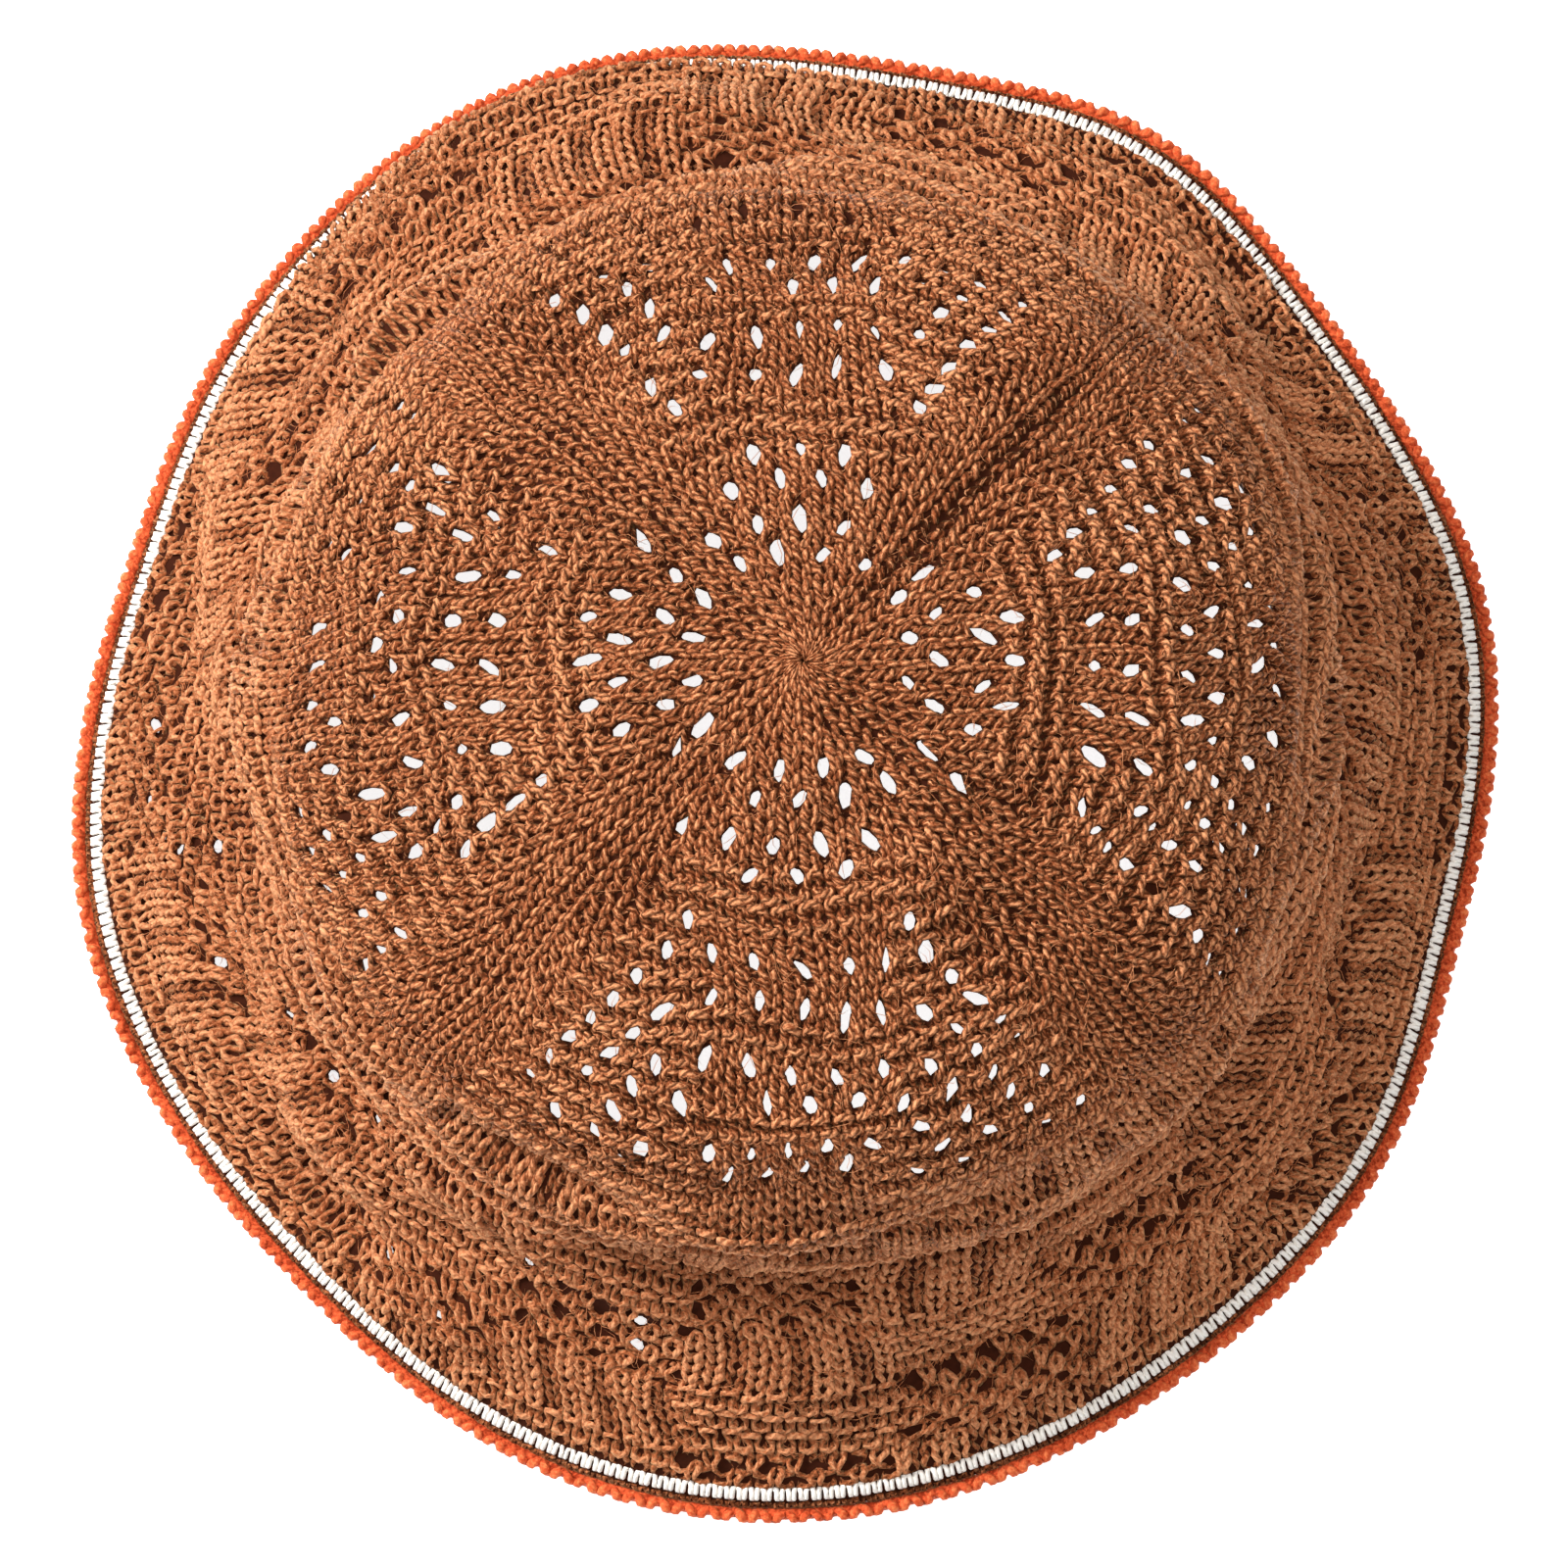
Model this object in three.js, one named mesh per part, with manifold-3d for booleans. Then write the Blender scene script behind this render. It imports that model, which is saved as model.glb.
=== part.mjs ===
// A knitted bucket hat resting on its brim: a soft domed crown pierced with eyelets, a flared wavy brim,
// a pale stripe and a corded edging. Millimetres, +Z up, the front of the hat towards -Y.
import * as THREE from "three";
import { mergeGeometries, mergeVertices } from "three/addons/utils/BufferGeometryUtils.js";
import Module from "manifold-3d";

// The knit
const WALL = 2.4; // thickness of the knitted wall
const GAP = 0.3; // clearance between neighbouring pieces
const ROW = 2.5; // one knitted row, measured along the cloth
const QUARTERS = 4; // wedges of the crown, which meet at four decrease lines
const SQUARE = 0.32; // how far the rows run straight across a wedge, in place of round
const SQUARE_FADES = { from: 14, to: 38 }; // rows between which they become circles

// The crown's outer face, from the middle of the top to the hem: one row for each section
const CROWN_SECTIONS = [
  { place: "gathered middle", reach: 0, height: 106 },
  { place: "lace rounds", reach: 20, height: 105 },
  { place: "top panel", reach: 44, height: 101.5 },
  { place: "round of the top", reach: 67, height: 94 },
  { place: "shoulder", reach: 82.5, height: 83.5 },
  { place: "upper side", reach: 90.5, height: 69 },
  { place: "lower side", reach: 92.5, height: 53 },
  { place: "hem", reach: 93.5, height: 38 },
];
const CROWN_OVAL = 1.02; // front to back over side to side
const CORNER_SWELL = 0.03; // how far the corners stand out past a round crown
const CREASE_DEPTH = 1.2; // dip of the cloth along a decrease line
const CREASE_WIDTH = 6;
const LEAN_X = 3; // the top leans this far from the middle of the brim
const LEAN_Y = -1.8;

// The brim's edge, seen from above, and its folds: one row for each fold.
// A fold lies at an angle from +X, fades over its spread, moves the edge out or in, lifts it off the
// surface, and turns its last stretch down.
const BRIM_WIDTH = 262;
const BRIM_DEPTH = 275;
const EDGE_RISE = 1.0; // height of the cloth's outer face where the edging ends
const SETTLE = 1.0; // the folds sink by this much until the edge lies flat between them
const FOLDS = [
  { at: 15, spread: 14, out: 2.5, lift: 3.0, turn: 0.0 },
  { at: 60, spread: 14, out: 4.0, lift: 6.0, turn: -0.2 },
  { at: 112, spread: 24, out: 2.0, lift: 5.0, turn: 0.9 },
  { at: 161, spread: 14, out: -3.0, lift: 0.0, turn: 0.0 },
  { at: 192, spread: 12, out: 1.0, lift: 4.0, turn: 0.0 },
  { at: 227, spread: 20, out: -4.5, lift: 0.0, turn: 0.0 },
  { at: 268, spread: 16, out: 0.5, lift: 5.0, turn: 0.0 },
  { at: 305, spread: 22, out: -2.5, lift: 1.5, turn: 0.0 },
  { at: 344, spread: 14, out: -3.5, lift: 0.0, turn: 0.0 },
];
// Where the curve of the brim is drawn to: shares of the way out and of the way down
const FLARED = { out: 0.38, down: 0.62 };
const TURNED = { out: 0.62, down: 0.4 };
const ROLL = 16; // a turned brim comes straight down onto its edge over about this height

// The border
const EDGING_WIDTH = 5.0;
const EDGING_THICK = 3.8;
const STRIPE_WIDTH = 5.4;
const STRIPE_THICK = 2.2;

// Eyelets in each quarter of the crown: the row they lie on, counted from the middle, and their number
const EYELET_ROWS = [
  { row: 7, count: 4 },
  { row: 9, count: 5 },
  { row: 12, count: 6 },
  { row: 20, count: 5 },
  { row: 23, count: 5 },
  { row: 27, count: 5 },
];
const EYELET_PITCH = 2; // stitches from one eyelet to the next
const EYELET_WIDE = 2.6;
const EYELET_TALL = 3.2;
const EYELET_SIDES = 4;

// Steps of the meshes
const CROWN_STEPS = { round: 44, along: 11 };
const BRIM_STEPS = { round: 72, along: 7 };
const STRIPE_STEPS = 96;
const EDGING_STEPS = { round: 120, section: 6 };
const MERGE_WITHIN = 1e-3; // corners this near each other are one

const TURN = 2 * Math.PI;
const wasm = await Module();
wasm.setup();

// Matt yarn of one colour
function yarn(name, color) {
  return new THREE.MeshStandardMaterial({ name, color, roughness: 0.95, metalness: 0 });
}

const brownKnit = yarn("brown_knit", 0x9a572c);
const creamYarn = yarn("cream_yarn", 0xf3e9da);
const orangeYarn = yarn("orange_yarn", 0xdb5a33);

const crownCurve = new THREE.SplineCurve(
  CROWN_SECTIONS.map((section) => new THREE.Vector2(section.reach, section.height)),
);
const crownLength = crownCurve.getLength();

// How far the cloth dips at a decrease line, which runs along each diagonal
function creaseAt(reach, angle) {
  const quarter = TURN / QUARTERS;
  const offLine = Math.abs(THREE.MathUtils.euclideanModulo(angle, quarter) - quarter / 2);
  const off = (offLine * reach) / CREASE_WIDTH;
  return CREASE_DEPTH * Math.exp(-off * off) * THREE.MathUtils.smoothstep(reach, 0, 2 * CREASE_WIDTH);
}

// A point of the crown's wall, at a length along the cloth from the middle and a depth under its outer face
function crownPoint(along, angle, depth) {
  const share = along / crownLength;
  const section = crownCurve.getPointAt(share);
  const run = crownCurve.getTangentAt(share);
  const side = 1 - share;
  const sunk = depth + creaseAt(section.x, angle) * side;
  const corner = 1 + (CORNER_SWELL * share * (1 - Math.cos(QUARTERS * angle))) / 2;
  const reach = along > 0 ? (section.x + run.y * sunk) * corner : 0;
  return new THREE.Vector3(
    reach * Math.cos(angle) + LEAN_X * side,
    reach * Math.sin(angle) * CROWN_OVAL + LEAN_Y * side,
    section.y - run.x * sunk,
  );
}

// What the folds do together at an angle round the brim
function foldAt(angle) {
  const fold = { out: 0, lift: -SETTLE, turn: 0 };
  for (const row of FOLDS) {
    const off = THREE.MathUtils.euclideanModulo(THREE.MathUtils.radToDeg(angle) - row.at + 180, 360) - 180;
    const weight = Math.exp(-((off / row.spread) ** 2));
    fold.out += row.out * weight;
    fold.lift += row.lift * weight;
    fold.turn += row.turn * weight;
  }
  fold.lift = Math.max(0, fold.lift);
  return fold;
}

// The brim's outer face at one angle: a curve from the crown's hem to the end of the edging. Its first half
// follows the flare, and its second half rolls down where the brim is turned.
function brimLine(angle) {
  const fold = foldAt(angle);
  const halfWidth = BRIM_WIDTH / 2;
  const halfDepth = BRIM_DEPTH / 2;
  const across = Math.hypot(halfDepth * Math.cos(angle), halfWidth * Math.sin(angle));
  const reach = (halfWidth * halfDepth) / across + fold.out;
  const hem = crownPoint(crownLength, angle, 0);
  const edge = new THREE.Vector3(reach * Math.cos(angle), reach * Math.sin(angle), EDGE_RISE + fold.lift);
  const out = THREE.MathUtils.lerp(FLARED.out, TURNED.out, fold.turn);
  const down = THREE.MathUtils.lerp(FLARED.down, TURNED.down, fold.turn);
  const pull = new THREE.Vector3(
    THREE.MathUtils.lerp(hem.x, edge.x, out),
    THREE.MathUtils.lerp(hem.y, edge.y, out),
    THREE.MathUtils.lerp(hem.z, edge.z, down),
  );
  const flare = hem.clone().lerp(pull, 2 / 3);
  const rolled = edge.clone().setZ(edge.z + ROLL);
  const fall = edge.clone().lerp(pull, 2 / 3).lerp(rolled, Math.max(0, fold.turn));
  const curve = new THREE.CubicBezierCurve3(hem, flare, fall, edge);
  return { curve, angle, length: curve.getLength() };
}

// A point of the brim, at a length along the cloth from the hem and a depth under its outer face
function brimPoint(line, along, depth) {
  const share = along / line.length;
  const run = line.curve.getTangentAt(share);
  const round = new THREE.Vector3(-Math.sin(line.angle), Math.cos(line.angle), 0);
  const inward = round.cross(run).normalize();
  return line.curve.getPointAt(share).addScaledVector(inward, depth);
}

// A closed wall carried once round the hat. sectionAt gives the wall's outline at an angle. The outline of a
// ring closes on itself, and that of a dome starts and ends on the axis.
function carriedRound(sectionAt, steps, ring) {
  const positions = [];
  const index = [];
  let count = 0;
  for (let step = 0; step < steps; step += 1) {
    const section = sectionAt((step / steps) * TURN);
    count = section.length;
    for (const point of section) {
      positions.push(point.x, point.y, point.z);
    }
  }
  const last = ring ? count : count - 1;
  for (let step = 0; step < steps; step += 1) {
    const here = step * count;
    const next = ((step + 1) % steps) * count;
    for (let k = 0; k < last; k += 1) {
      const ahead = (k + 1) % count;
      index.push(here + k, here + ahead, next + ahead);
      index.push(here + k, next + ahead, next + k);
    }
  }
  const geometry = new THREE.BufferGeometry();
  geometry.setAttribute("position", new THREE.Float32BufferAttribute(positions, 3));
  geometry.setIndex(index);
  return geometry;
}

// A closed mesh as a solid: shared vertices are merged, and faces that shrink to nothing are left out
function solidOf(geometry) {
  const bare = geometry.clone();
  bare.deleteAttribute("normal");
  bare.deleteAttribute("uv");
  const merged = mergeVertices(bare, MERGE_WITHIN);
  const corners = merged.index.array;
  const kept = [];
  for (let i = 0; i < corners.length; i += 3) {
    const [a, b, c] = corners.subarray(i, i + 3);
    if (a !== b && b !== c && a !== c) {
      kept.push(a, b, c);
    }
  }
  const vertProperties = new Float32Array(merged.attributes.position.array);
  return new wasm.Manifold(new wasm.Mesh({ numProp: 3, vertProperties, triVerts: new Uint32Array(kept) }));
}

function geometryOf(solid) {
  const mesh = solid.getMesh();
  const geometry = new THREE.BufferGeometry();
  geometry.setAttribute("position", new THREE.BufferAttribute(mesh.vertProperties, 3));
  geometry.setIndex(new THREE.BufferAttribute(mesh.triVerts, 1));
  geometry.computeVertexNormals();
  return geometry;
}

// Stitches in a quarter of the crown on a row counted from the middle: two more on every second row
function stitchesAt(row) {
  return 2 * Math.max(1, Math.round(row / 2));
}

// Length along the cloth to a row, at an angle off the middle of its wedge
function alongAt(row, off) {
  const square = SQUARE * (1 - THREE.MathUtils.smoothstep(row, SQUARE_FADES.from, SQUARE_FADES.to));
  return row * ROW * (1 + square * (1 / Math.cos(off) - 1));
}

// A pin that stands across the wall of the crown where an eyelet lies
function eyeletPin(row, place, quarter) {
  const off = ((TURN / QUARTERS) * place) / stitchesAt(row);
  const angle = (TURN / QUARTERS) * quarter + off;
  const outer = crownPoint(alongAt(row, off), angle, -WALL);
  const inner = crownPoint(alongAt(row, off), angle, 2 * WALL);
  const above = crownPoint(alongAt(row - 1, off), angle, 0);
  const below = crownPoint(alongAt(row + 1, off), angle, 0);
  const across = outer.clone().sub(inner);
  const pin = new THREE.CylinderGeometry(0.5, 0.5, across.length(), EYELET_SIDES);
  const up = across.clone().normalize();
  const tall = above.sub(below);
  tall.addScaledVector(up, -tall.dot(up)).normalize();
  const wide = up.clone().cross(tall);
  const turn = new THREE.Matrix4().makeBasis(wide, up, tall);
  pin.scale(EYELET_WIDE, 1, EYELET_TALL);
  pin.applyMatrix4(turn);
  const middle = outer.add(inner).multiplyScalar(0.5);
  pin.translate(middle.x, middle.y, middle.z);
  return pin;
}

function crownGeometry() {
  const end = crownLength - GAP / 2;
  const section = (angle) => {
    const outer = [];
    const inner = [];
    for (let k = 0; k <= CROWN_STEPS.along; k += 1) {
      const along = (end * k) / CROWN_STEPS.along;
      outer.push(crownPoint(along, angle, 0));
      inner.unshift(crownPoint(along, angle, WALL));
    }
    return [...outer, ...inner];
  };
  const pins = [];
  for (let quarter = 0; quarter < QUARTERS; quarter += 1) {
    for (const { row, count } of EYELET_ROWS) {
      for (let k = 0; k < count; k += 1) {
        pins.push(eyeletPin(row, (k - (count - 1) / 2) * EYELET_PITCH, quarter));
      }
    }
  }
  const wall = solidOf(carriedRound(section, CROWN_STEPS.round, false));
  return geometryOf(wall.subtract(solidOf(mergeGeometries(pins))));
}

// A band of the brim's wall, with limits measured in from the end of the edging. A null limit is the hem.
function brimBand(fromEdge, toEdge, thick, steps, stepsAlong) {
  const section = (angle) => {
    const line = brimLine(angle);
    const start = fromEdge === null ? GAP / 2 : line.length - fromEdge;
    const end = line.length - toEdge;
    const top = (WALL - thick) / 2;
    const outer = [];
    const inner = [];
    for (let k = 0; k <= stepsAlong; k += 1) {
      const along = start + ((end - start) * k) / stepsAlong;
      outer.push(brimPoint(line, along, top));
      inner.unshift(brimPoint(line, along, top + thick));
    }
    return [...outer, ...inner];
  };
  return geometryOf(solidOf(carriedRound(section, steps, true)));
}

// The edging: a cord whose underside is flat where it lies on the surface
function edgingGeometry() {
  const section = (angle) => {
    const line = brimLine(angle);
    const points = [];
    for (let k = 0; k < EDGING_STEPS.section; k += 1) {
      const turn = ((k + 0.5) / EDGING_STEPS.section) * TURN;
      const along = line.length - (EDGING_WIDTH / 2) * (1 + Math.cos(turn));
      const point = brimPoint(line, along, WALL / 2 - (EDGING_THICK / 2) * Math.sin(turn));
      point.z = Math.max(point.z, 0);
      points.push(point);
    }
    return points;
  };
  return geometryOf(solidOf(carriedRound(section, EDGING_STEPS.round, true)));
}

const hat = new THREE.Group();

function addPiece(name, geometry, material) {
  const piece = new THREE.Mesh(geometry, material);
  piece.name = name;
  hat.add(piece);
}

const stripeEnd = EDGING_WIDTH + GAP;
const brimEnd = stripeEnd + STRIPE_WIDTH + GAP;
addPiece("crown", crownGeometry(), brownKnit);
addPiece("brim", brimBand(null, brimEnd, WALL, BRIM_STEPS.round, BRIM_STEPS.along), brownKnit);
addPiece("cream_stripe", brimBand(brimEnd - GAP, stripeEnd, STRIPE_THICK, STRIPE_STEPS, 1), creamYarn);
addPiece("orange_edging", edgingGeometry(), orangeYarn);

// The origin is on the surface, under the middle of the brim
const middle = new THREE.Box3().setFromObject(hat).getCenter(new THREE.Vector3());
hat.position.set(-middle.x, -middle.y, 0);

const root = new THREE.Group();
root.add(hat);

export default root;
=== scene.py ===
"""A knitted bucket hat resting on its brim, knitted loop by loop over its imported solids.

The hat is one sheet of cloth, addressed by the round of stitches (counted from the middle of the
crown) and the angle round the hat. Rounds of looped yarn are laid on that sheet, opened where an
eyelet lies, and finished with a pale stripe and a scalloped edging. Metres, +Z up, the front of
the hat towards -Y.
"""

import math

import bpy
import numpy as np
from bpy.props import FloatProperty, FloatVectorProperty, IntProperty, PointerProperty
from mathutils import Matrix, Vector


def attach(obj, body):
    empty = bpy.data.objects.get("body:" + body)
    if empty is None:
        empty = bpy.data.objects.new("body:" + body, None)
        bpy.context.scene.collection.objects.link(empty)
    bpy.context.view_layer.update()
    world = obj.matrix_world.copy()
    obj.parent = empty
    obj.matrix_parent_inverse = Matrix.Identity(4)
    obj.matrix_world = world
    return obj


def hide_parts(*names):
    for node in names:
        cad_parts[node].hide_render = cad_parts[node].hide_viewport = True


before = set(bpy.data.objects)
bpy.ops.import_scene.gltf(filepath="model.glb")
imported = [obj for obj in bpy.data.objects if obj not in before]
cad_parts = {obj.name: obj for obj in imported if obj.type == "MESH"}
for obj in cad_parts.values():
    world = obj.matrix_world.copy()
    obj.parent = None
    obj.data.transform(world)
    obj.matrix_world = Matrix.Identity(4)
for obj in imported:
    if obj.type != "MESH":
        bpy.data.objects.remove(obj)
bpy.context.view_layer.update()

bl_info = {
    "name": "Knitted Bucket Hat",
    "version": (1, 0, 0),
    "blender": (4, 5, 0),
    "location": "View3D > Sidebar > Hat",
    "description": "Knits a bucket hat loop by loop over its packed solids",
    "category": "Object",
}

TURN = 2 * math.pi
QUARTERS = 4
QUARTER = TURN / QUARTERS
MILLIMETRES = 1000

# The crown's outer face from the middle of the top to the hem: place, reach, height
CROWN_SECTIONS = (
    ("gathered middle", 0.0, 0.106),
    ("lace rounds", 0.020, 0.105),
    ("top panel", 0.044, 0.1015),
    ("round of the top", 0.067, 0.094),
    ("shoulder", 0.0825, 0.0835),
    ("upper side", 0.0905, 0.069),
    ("lower side", 0.0925, 0.053),
    ("hem", 0.0935, 0.038),
)
CROWN_OVAL = 1.02  # front to back over side to side
CORNER_SWELL = 0.03  # how far the corners stand out past a round crown
CREASE_DEPTH = 0.0012  # dip of the cloth along a decrease line
CREASE_WIDTH = 0.006
LEAN_X = 0.003  # the top leans this far from the middle of the brim
LEAN_Y = -0.0018

# The brim's edge and its folds: angle and spread in degrees, push outwards, lift, and turn down
BRIM_WIDTH = 0.262
BRIM_DEPTH = 0.275
EDGE_RISE = 0.001
SETTLE = 0.001
FOLDS = (
    (15, 14, 0.0025, 0.003, 0.0),
    (60, 14, 0.004, 0.006, -0.2),
    (112, 24, 0.002, 0.005, 0.9),
    (161, 14, -0.003, 0.0, 0.0),
    (192, 12, 0.001, 0.004, 0.0),
    (227, 20, -0.0045, 0.0, 0.0),
    (268, 16, 0.0005, 0.005, 0.0),
    (305, 22, -0.0025, 0.0015, 0.0),
    (344, 14, -0.0035, 0.0, 0.0),
)
FLARED = (0.38, 0.62)  # a flared brim is drawn to these shares of the way out and of the way down
TURNED = (0.62, 0.4)
ROLL = 0.016  # a turned brim comes straight down onto its edge over about this height
BORDER = 0.0088  # from the end of the brown knit to the edge

# Rounds of the knit
CROWN_ROUNDS = 54
BRIM_ROUNDS = 20
KNIT_ROUNDS = CROWN_ROUNDS + BRIM_ROUNDS
HEM_STITCHES = 40  # in a quarter
EDGE_STITCHES = 54
FIRST_STITCHES = 4
FIRST_PLACE = 0.12  # nearest that yarn comes to the middle of the top, in rounds
SQUARE = 0.32  # how far the rounds of the crown run straight across a quarter
SQUARE_FADES = (14, 38)  # rounds between which they become circles
FULL_STITCH = 0.0031  # narrower stitches are of thinner yarn
LINE_STITCHES = 3.5  # stitches beside a decrease line that run along it
LINE_CLEAR = 2.5  # stitches beside a decrease line that are all knit
GRID_STEP = 0.25  # rounds between the rings of the sheet
GRID_ANGLES = 720

# How soft cloth strays from the plain form: rounds where it sets in and where it fades, waves round
# the hat, their length in rounds, and their height
WALL_SETS_IN = (34, 42)
WALL_FADES = (CROWN_ROUNDS - 8, CROWN_ROUNDS + 2)
BRIM_SETS_IN = (CROWN_ROUNDS - 2, CROWN_ROUNDS + 4)
BRIM_FADES = (KNIT_ROUNDS - 5, KNIT_ROUNDS)
SOFT_CLOTH = (
    ("top", (3, 12), WALL_SETS_IN, (2, 6), (9, 22), 0.0005),
    ("wall", WALL_SETS_IN, WALL_FADES, (3, 9), (12, 30), 0.0016),
    ("ridges of the wall", WALL_SETS_IN, WALL_FADES, (2, 9), (3.5, 6.5), 0.0009),
    ("brim", BRIM_SETS_IN, BRIM_FADES, (5, 14), (8, 24), 0.0015),
)
# Where the brim is turned down the stripe lies under the knit: rounds past the end of the knit, and
# push outwards
TURNED_LIP = (
    (-5, 0.0), (-0.5, 0.001), (0.2, 0.0008), (1.0, -0.0018), (1.9, -0.001), (2.7, 0.0012), (3.6, 0.0014),
)
# How stitches stray along the cloth
DRIFT = 0.0009
DRIFT_WAVES = ((2, 11), (9, 30), 12)  # waves round the hat, their length in rounds, and their number
DRIFT_SETS_IN = (6, 26)
DRIFT_FADES = (KNIT_ROUNDS - 4, KNIT_ROUNDS)
DRIFT_REACH = 0.02  # nearer to the middle they turn no further

# Yarn of the knit
# Worn yarn is thinner, more uneven and fuzzier, and its colours are painted paler as painted light
WEAR_AND_LIGHT = ((0, 0.0), (34, 0.0), (46, 0.8), (58, 1.0))  # round, and how far its yarn is worn
WORN_THIN = 0.22
WORN_UNEVEN = 0.5
ROUGH, WORN_ROUGH = 0.04, 0.1  # how far the yarn swells and thins along a loop
JOIN = 0.16  # share of a loop over which it passes into the next
STRAY_ASIDE = 0.05  # of one loop from the next, in stitches
STRAY_AHEAD = 0.09  # in rounds
STRAY_LIFT = 0.00012
STRAY_THICK = 0.08
# Tone of the yarn: a base, painted light and shade by lift (raised parts of a loop lighter, sunk parts
# darker), and a random part
TONE, LIGHT_AND_SHADE_BY_LIFT, STRAY_TONE = 0.5, 0.36, 0.10
RIM_THIN = 0.14  # how far yarn thins at the rim of an eyelet
RIM_FADES = (0.8, 1.9)  # where 1 is the rim

# One decrease line is sewn shut, and lies deeper than the others, with painted shade along it
SEAM_ANGLE = QUARTER / 2
SEAM_WIDTH = 0.0011
SEAM_DEPTH = 0.0006
SEAM_SHADE = 0.45
SEAM_WANDER = ((0.0006, 1.9, 0), (0.0004, 4.3, 1))  # height of a wave, its rate and its start
SEAM_SETS_IN = (5, 8)
SEAM_FADES = (24, 32)

# Eyelets in each quarter of the crown: round and count across the panel
PANEL_EYELETS = (
    (7, 4), (9, 5), (12, 6), (14, 3), (20, 5), (23, 5), (27, 5), (29, 4), (33, 5), (35, 4),
)
EYELET_PITCH = 2  # stitches
EYELET_AHEAD = 0.28  # an eyelet lies this far past its round
EYELET_STRAY = (0.07, 0.08)  # aside in stitches, and ahead in rounds
EYELET_SIZES = (0.5, 1.5)  # least and most, as shares of the plain size
EYELET_SLANT = 0.4
EYELET_NEAR = 3.2  # rounds from an eyelet on which yarn gives way to it
EYELET_PUSH = 1.8  # how far out yarn gives way, where 1 is the rim
EYELET_CORE = 0.05  # no yarn counts as nearer to the middle of an eyelet
EYELET_CLEAR = 0.62  # an eyelet with yarn nearer to its middle stays shut
NO_EYELET = 9.0  # how near yarn lies where there is none
CROWN_EYELETS = (1.0, 0.32)  # share of the plain size, and how far it differs
BRIM_EYELETS = (np.array([1.0, 0.5]), 0.15)  # with a share for the width and one for the height
SHADED_SIZE = 0.55  # of an eyelet that light does not shine through
# Eyelets in the mesh beside the panel, up to the decrease lines
MESH_ROUNDS = range(14, 37, 2)
MESH_FROM = 5
MESH_APART = 1.9  # stitches and rounds between eyelets
MESH_CLEAR = 3.2  # stitches from a decrease line
MESH_SHADED = 2.4  # nearer to the line they show only shade, down to this
MESH_KEPT = 0.97  # share of the eyelets of the mesh that light shines through
BACK, BACK_CLOSED = 1, 32  # in the back quarter no light shines through from this round on

# Kinds of block, and how far their stitches stand up: of a ridge its purled and its knitted rounds
KINDS = ("rib", "garter", "lace")
RIB, LACE = KINDS.index("rib"), KINDS.index("lace")
PANEL_HALF = 6
RIDGES = (15, 17, 25, 31)  # purled rounds across the panel
TOP_RIDGE = (0.00045, -0.00005)
GARTER_FROM = 40
WALL_BLOCKS = 4  # in a quarter
WALL_TIER = 5  # rounds
WALL_RIDGE = (0.0006, -0.0002)
BRIM_BLOCKS = 5
BRIM_TIER = 6
BRIM_RIDGE = (0.0006, -0.0003)
RIB_COLUMNS = 3  # one of them is sunk
RIB_HEIGHT = 0.0004
LACE_FROM = CROWN_ROUNDS + 3
LACE_STEP = 2  # rounds
LACE_HEIGHT = 0.0002
BRIM_OPEN = 0.36  # share of the brim's eyelets that let light through
OPEN_SIDE = (3.6, 0.9)  # on this side of the brim: the middle of it and half of it, as angles
OPEN_TO = KNIT_ROUNDS - 3

# Bands of rounds, a piece each: name, first and last round, points along a loop, sides of the yarn
CROWN_BANDS = (
    ("crown_top_knit", 1, 26, 12, 4),
    ("crown_round_knit", 27, 37, 10, 4),
    ("crown_shoulder_knit", 38, 45, 10, 4),
    ("crown_wall_knit", 46, 54, 10, 4),
)
BRIM_BANDS = (
    ("brim_inner_knit", 55, 64, 10, 4),
    ("brim_outer_knit", 65, 74, 10, 4),
)
# The dark layer in the wall behind the loops, a sheet of painted shade that shows between them
LAYER_LIFTS = (-0.0001, -0.0005)  # of its faces from the middle of the wall
LAYER_STEP = 0.75  # rounds
CROWN_LAYER = ("crown_painted_shade_layer", 100, 0.25, CROWN_ROUNDS)  # name, faces round, first and last round
BRIM_LAYER = ("brim_painted_shade_layer", 180, CROWN_ROUNDS)
LAYER_SHORT = 1.2  # rounds from the edge where the brim's layer ends
# Pins that cut the eyelets through it
PIN_SIDES = 8
PIN_WIDER = 0.0006
PIN_LIFTS = (0.003, -0.006)
# Stray fibres over the knit: name, first and last round, count
CROWN_FIBRES = ("crown_stray_fibres", 6, 54, 2800)
BRIM_FIBRES = ("brim_stray_fibres", 55, 72, 3200)
FIBRE_BAND = 0.5  # rounds over which they are strewn evenly
FIBRE_LENGTHS = (0.003, 0.007)
FIBRE_BEND = 1.2
FIBRE_LIFTS = (-0.0012, 0.0003, 0.0005, -0.0006)  # of its start, of its two bends and of its end
FIBRE_STRAY = 0.00015
FIBRE_RADIUS = 0.00006
FIBRE_SIDES = 3
FIBRE_TONE = 0.8

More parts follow.
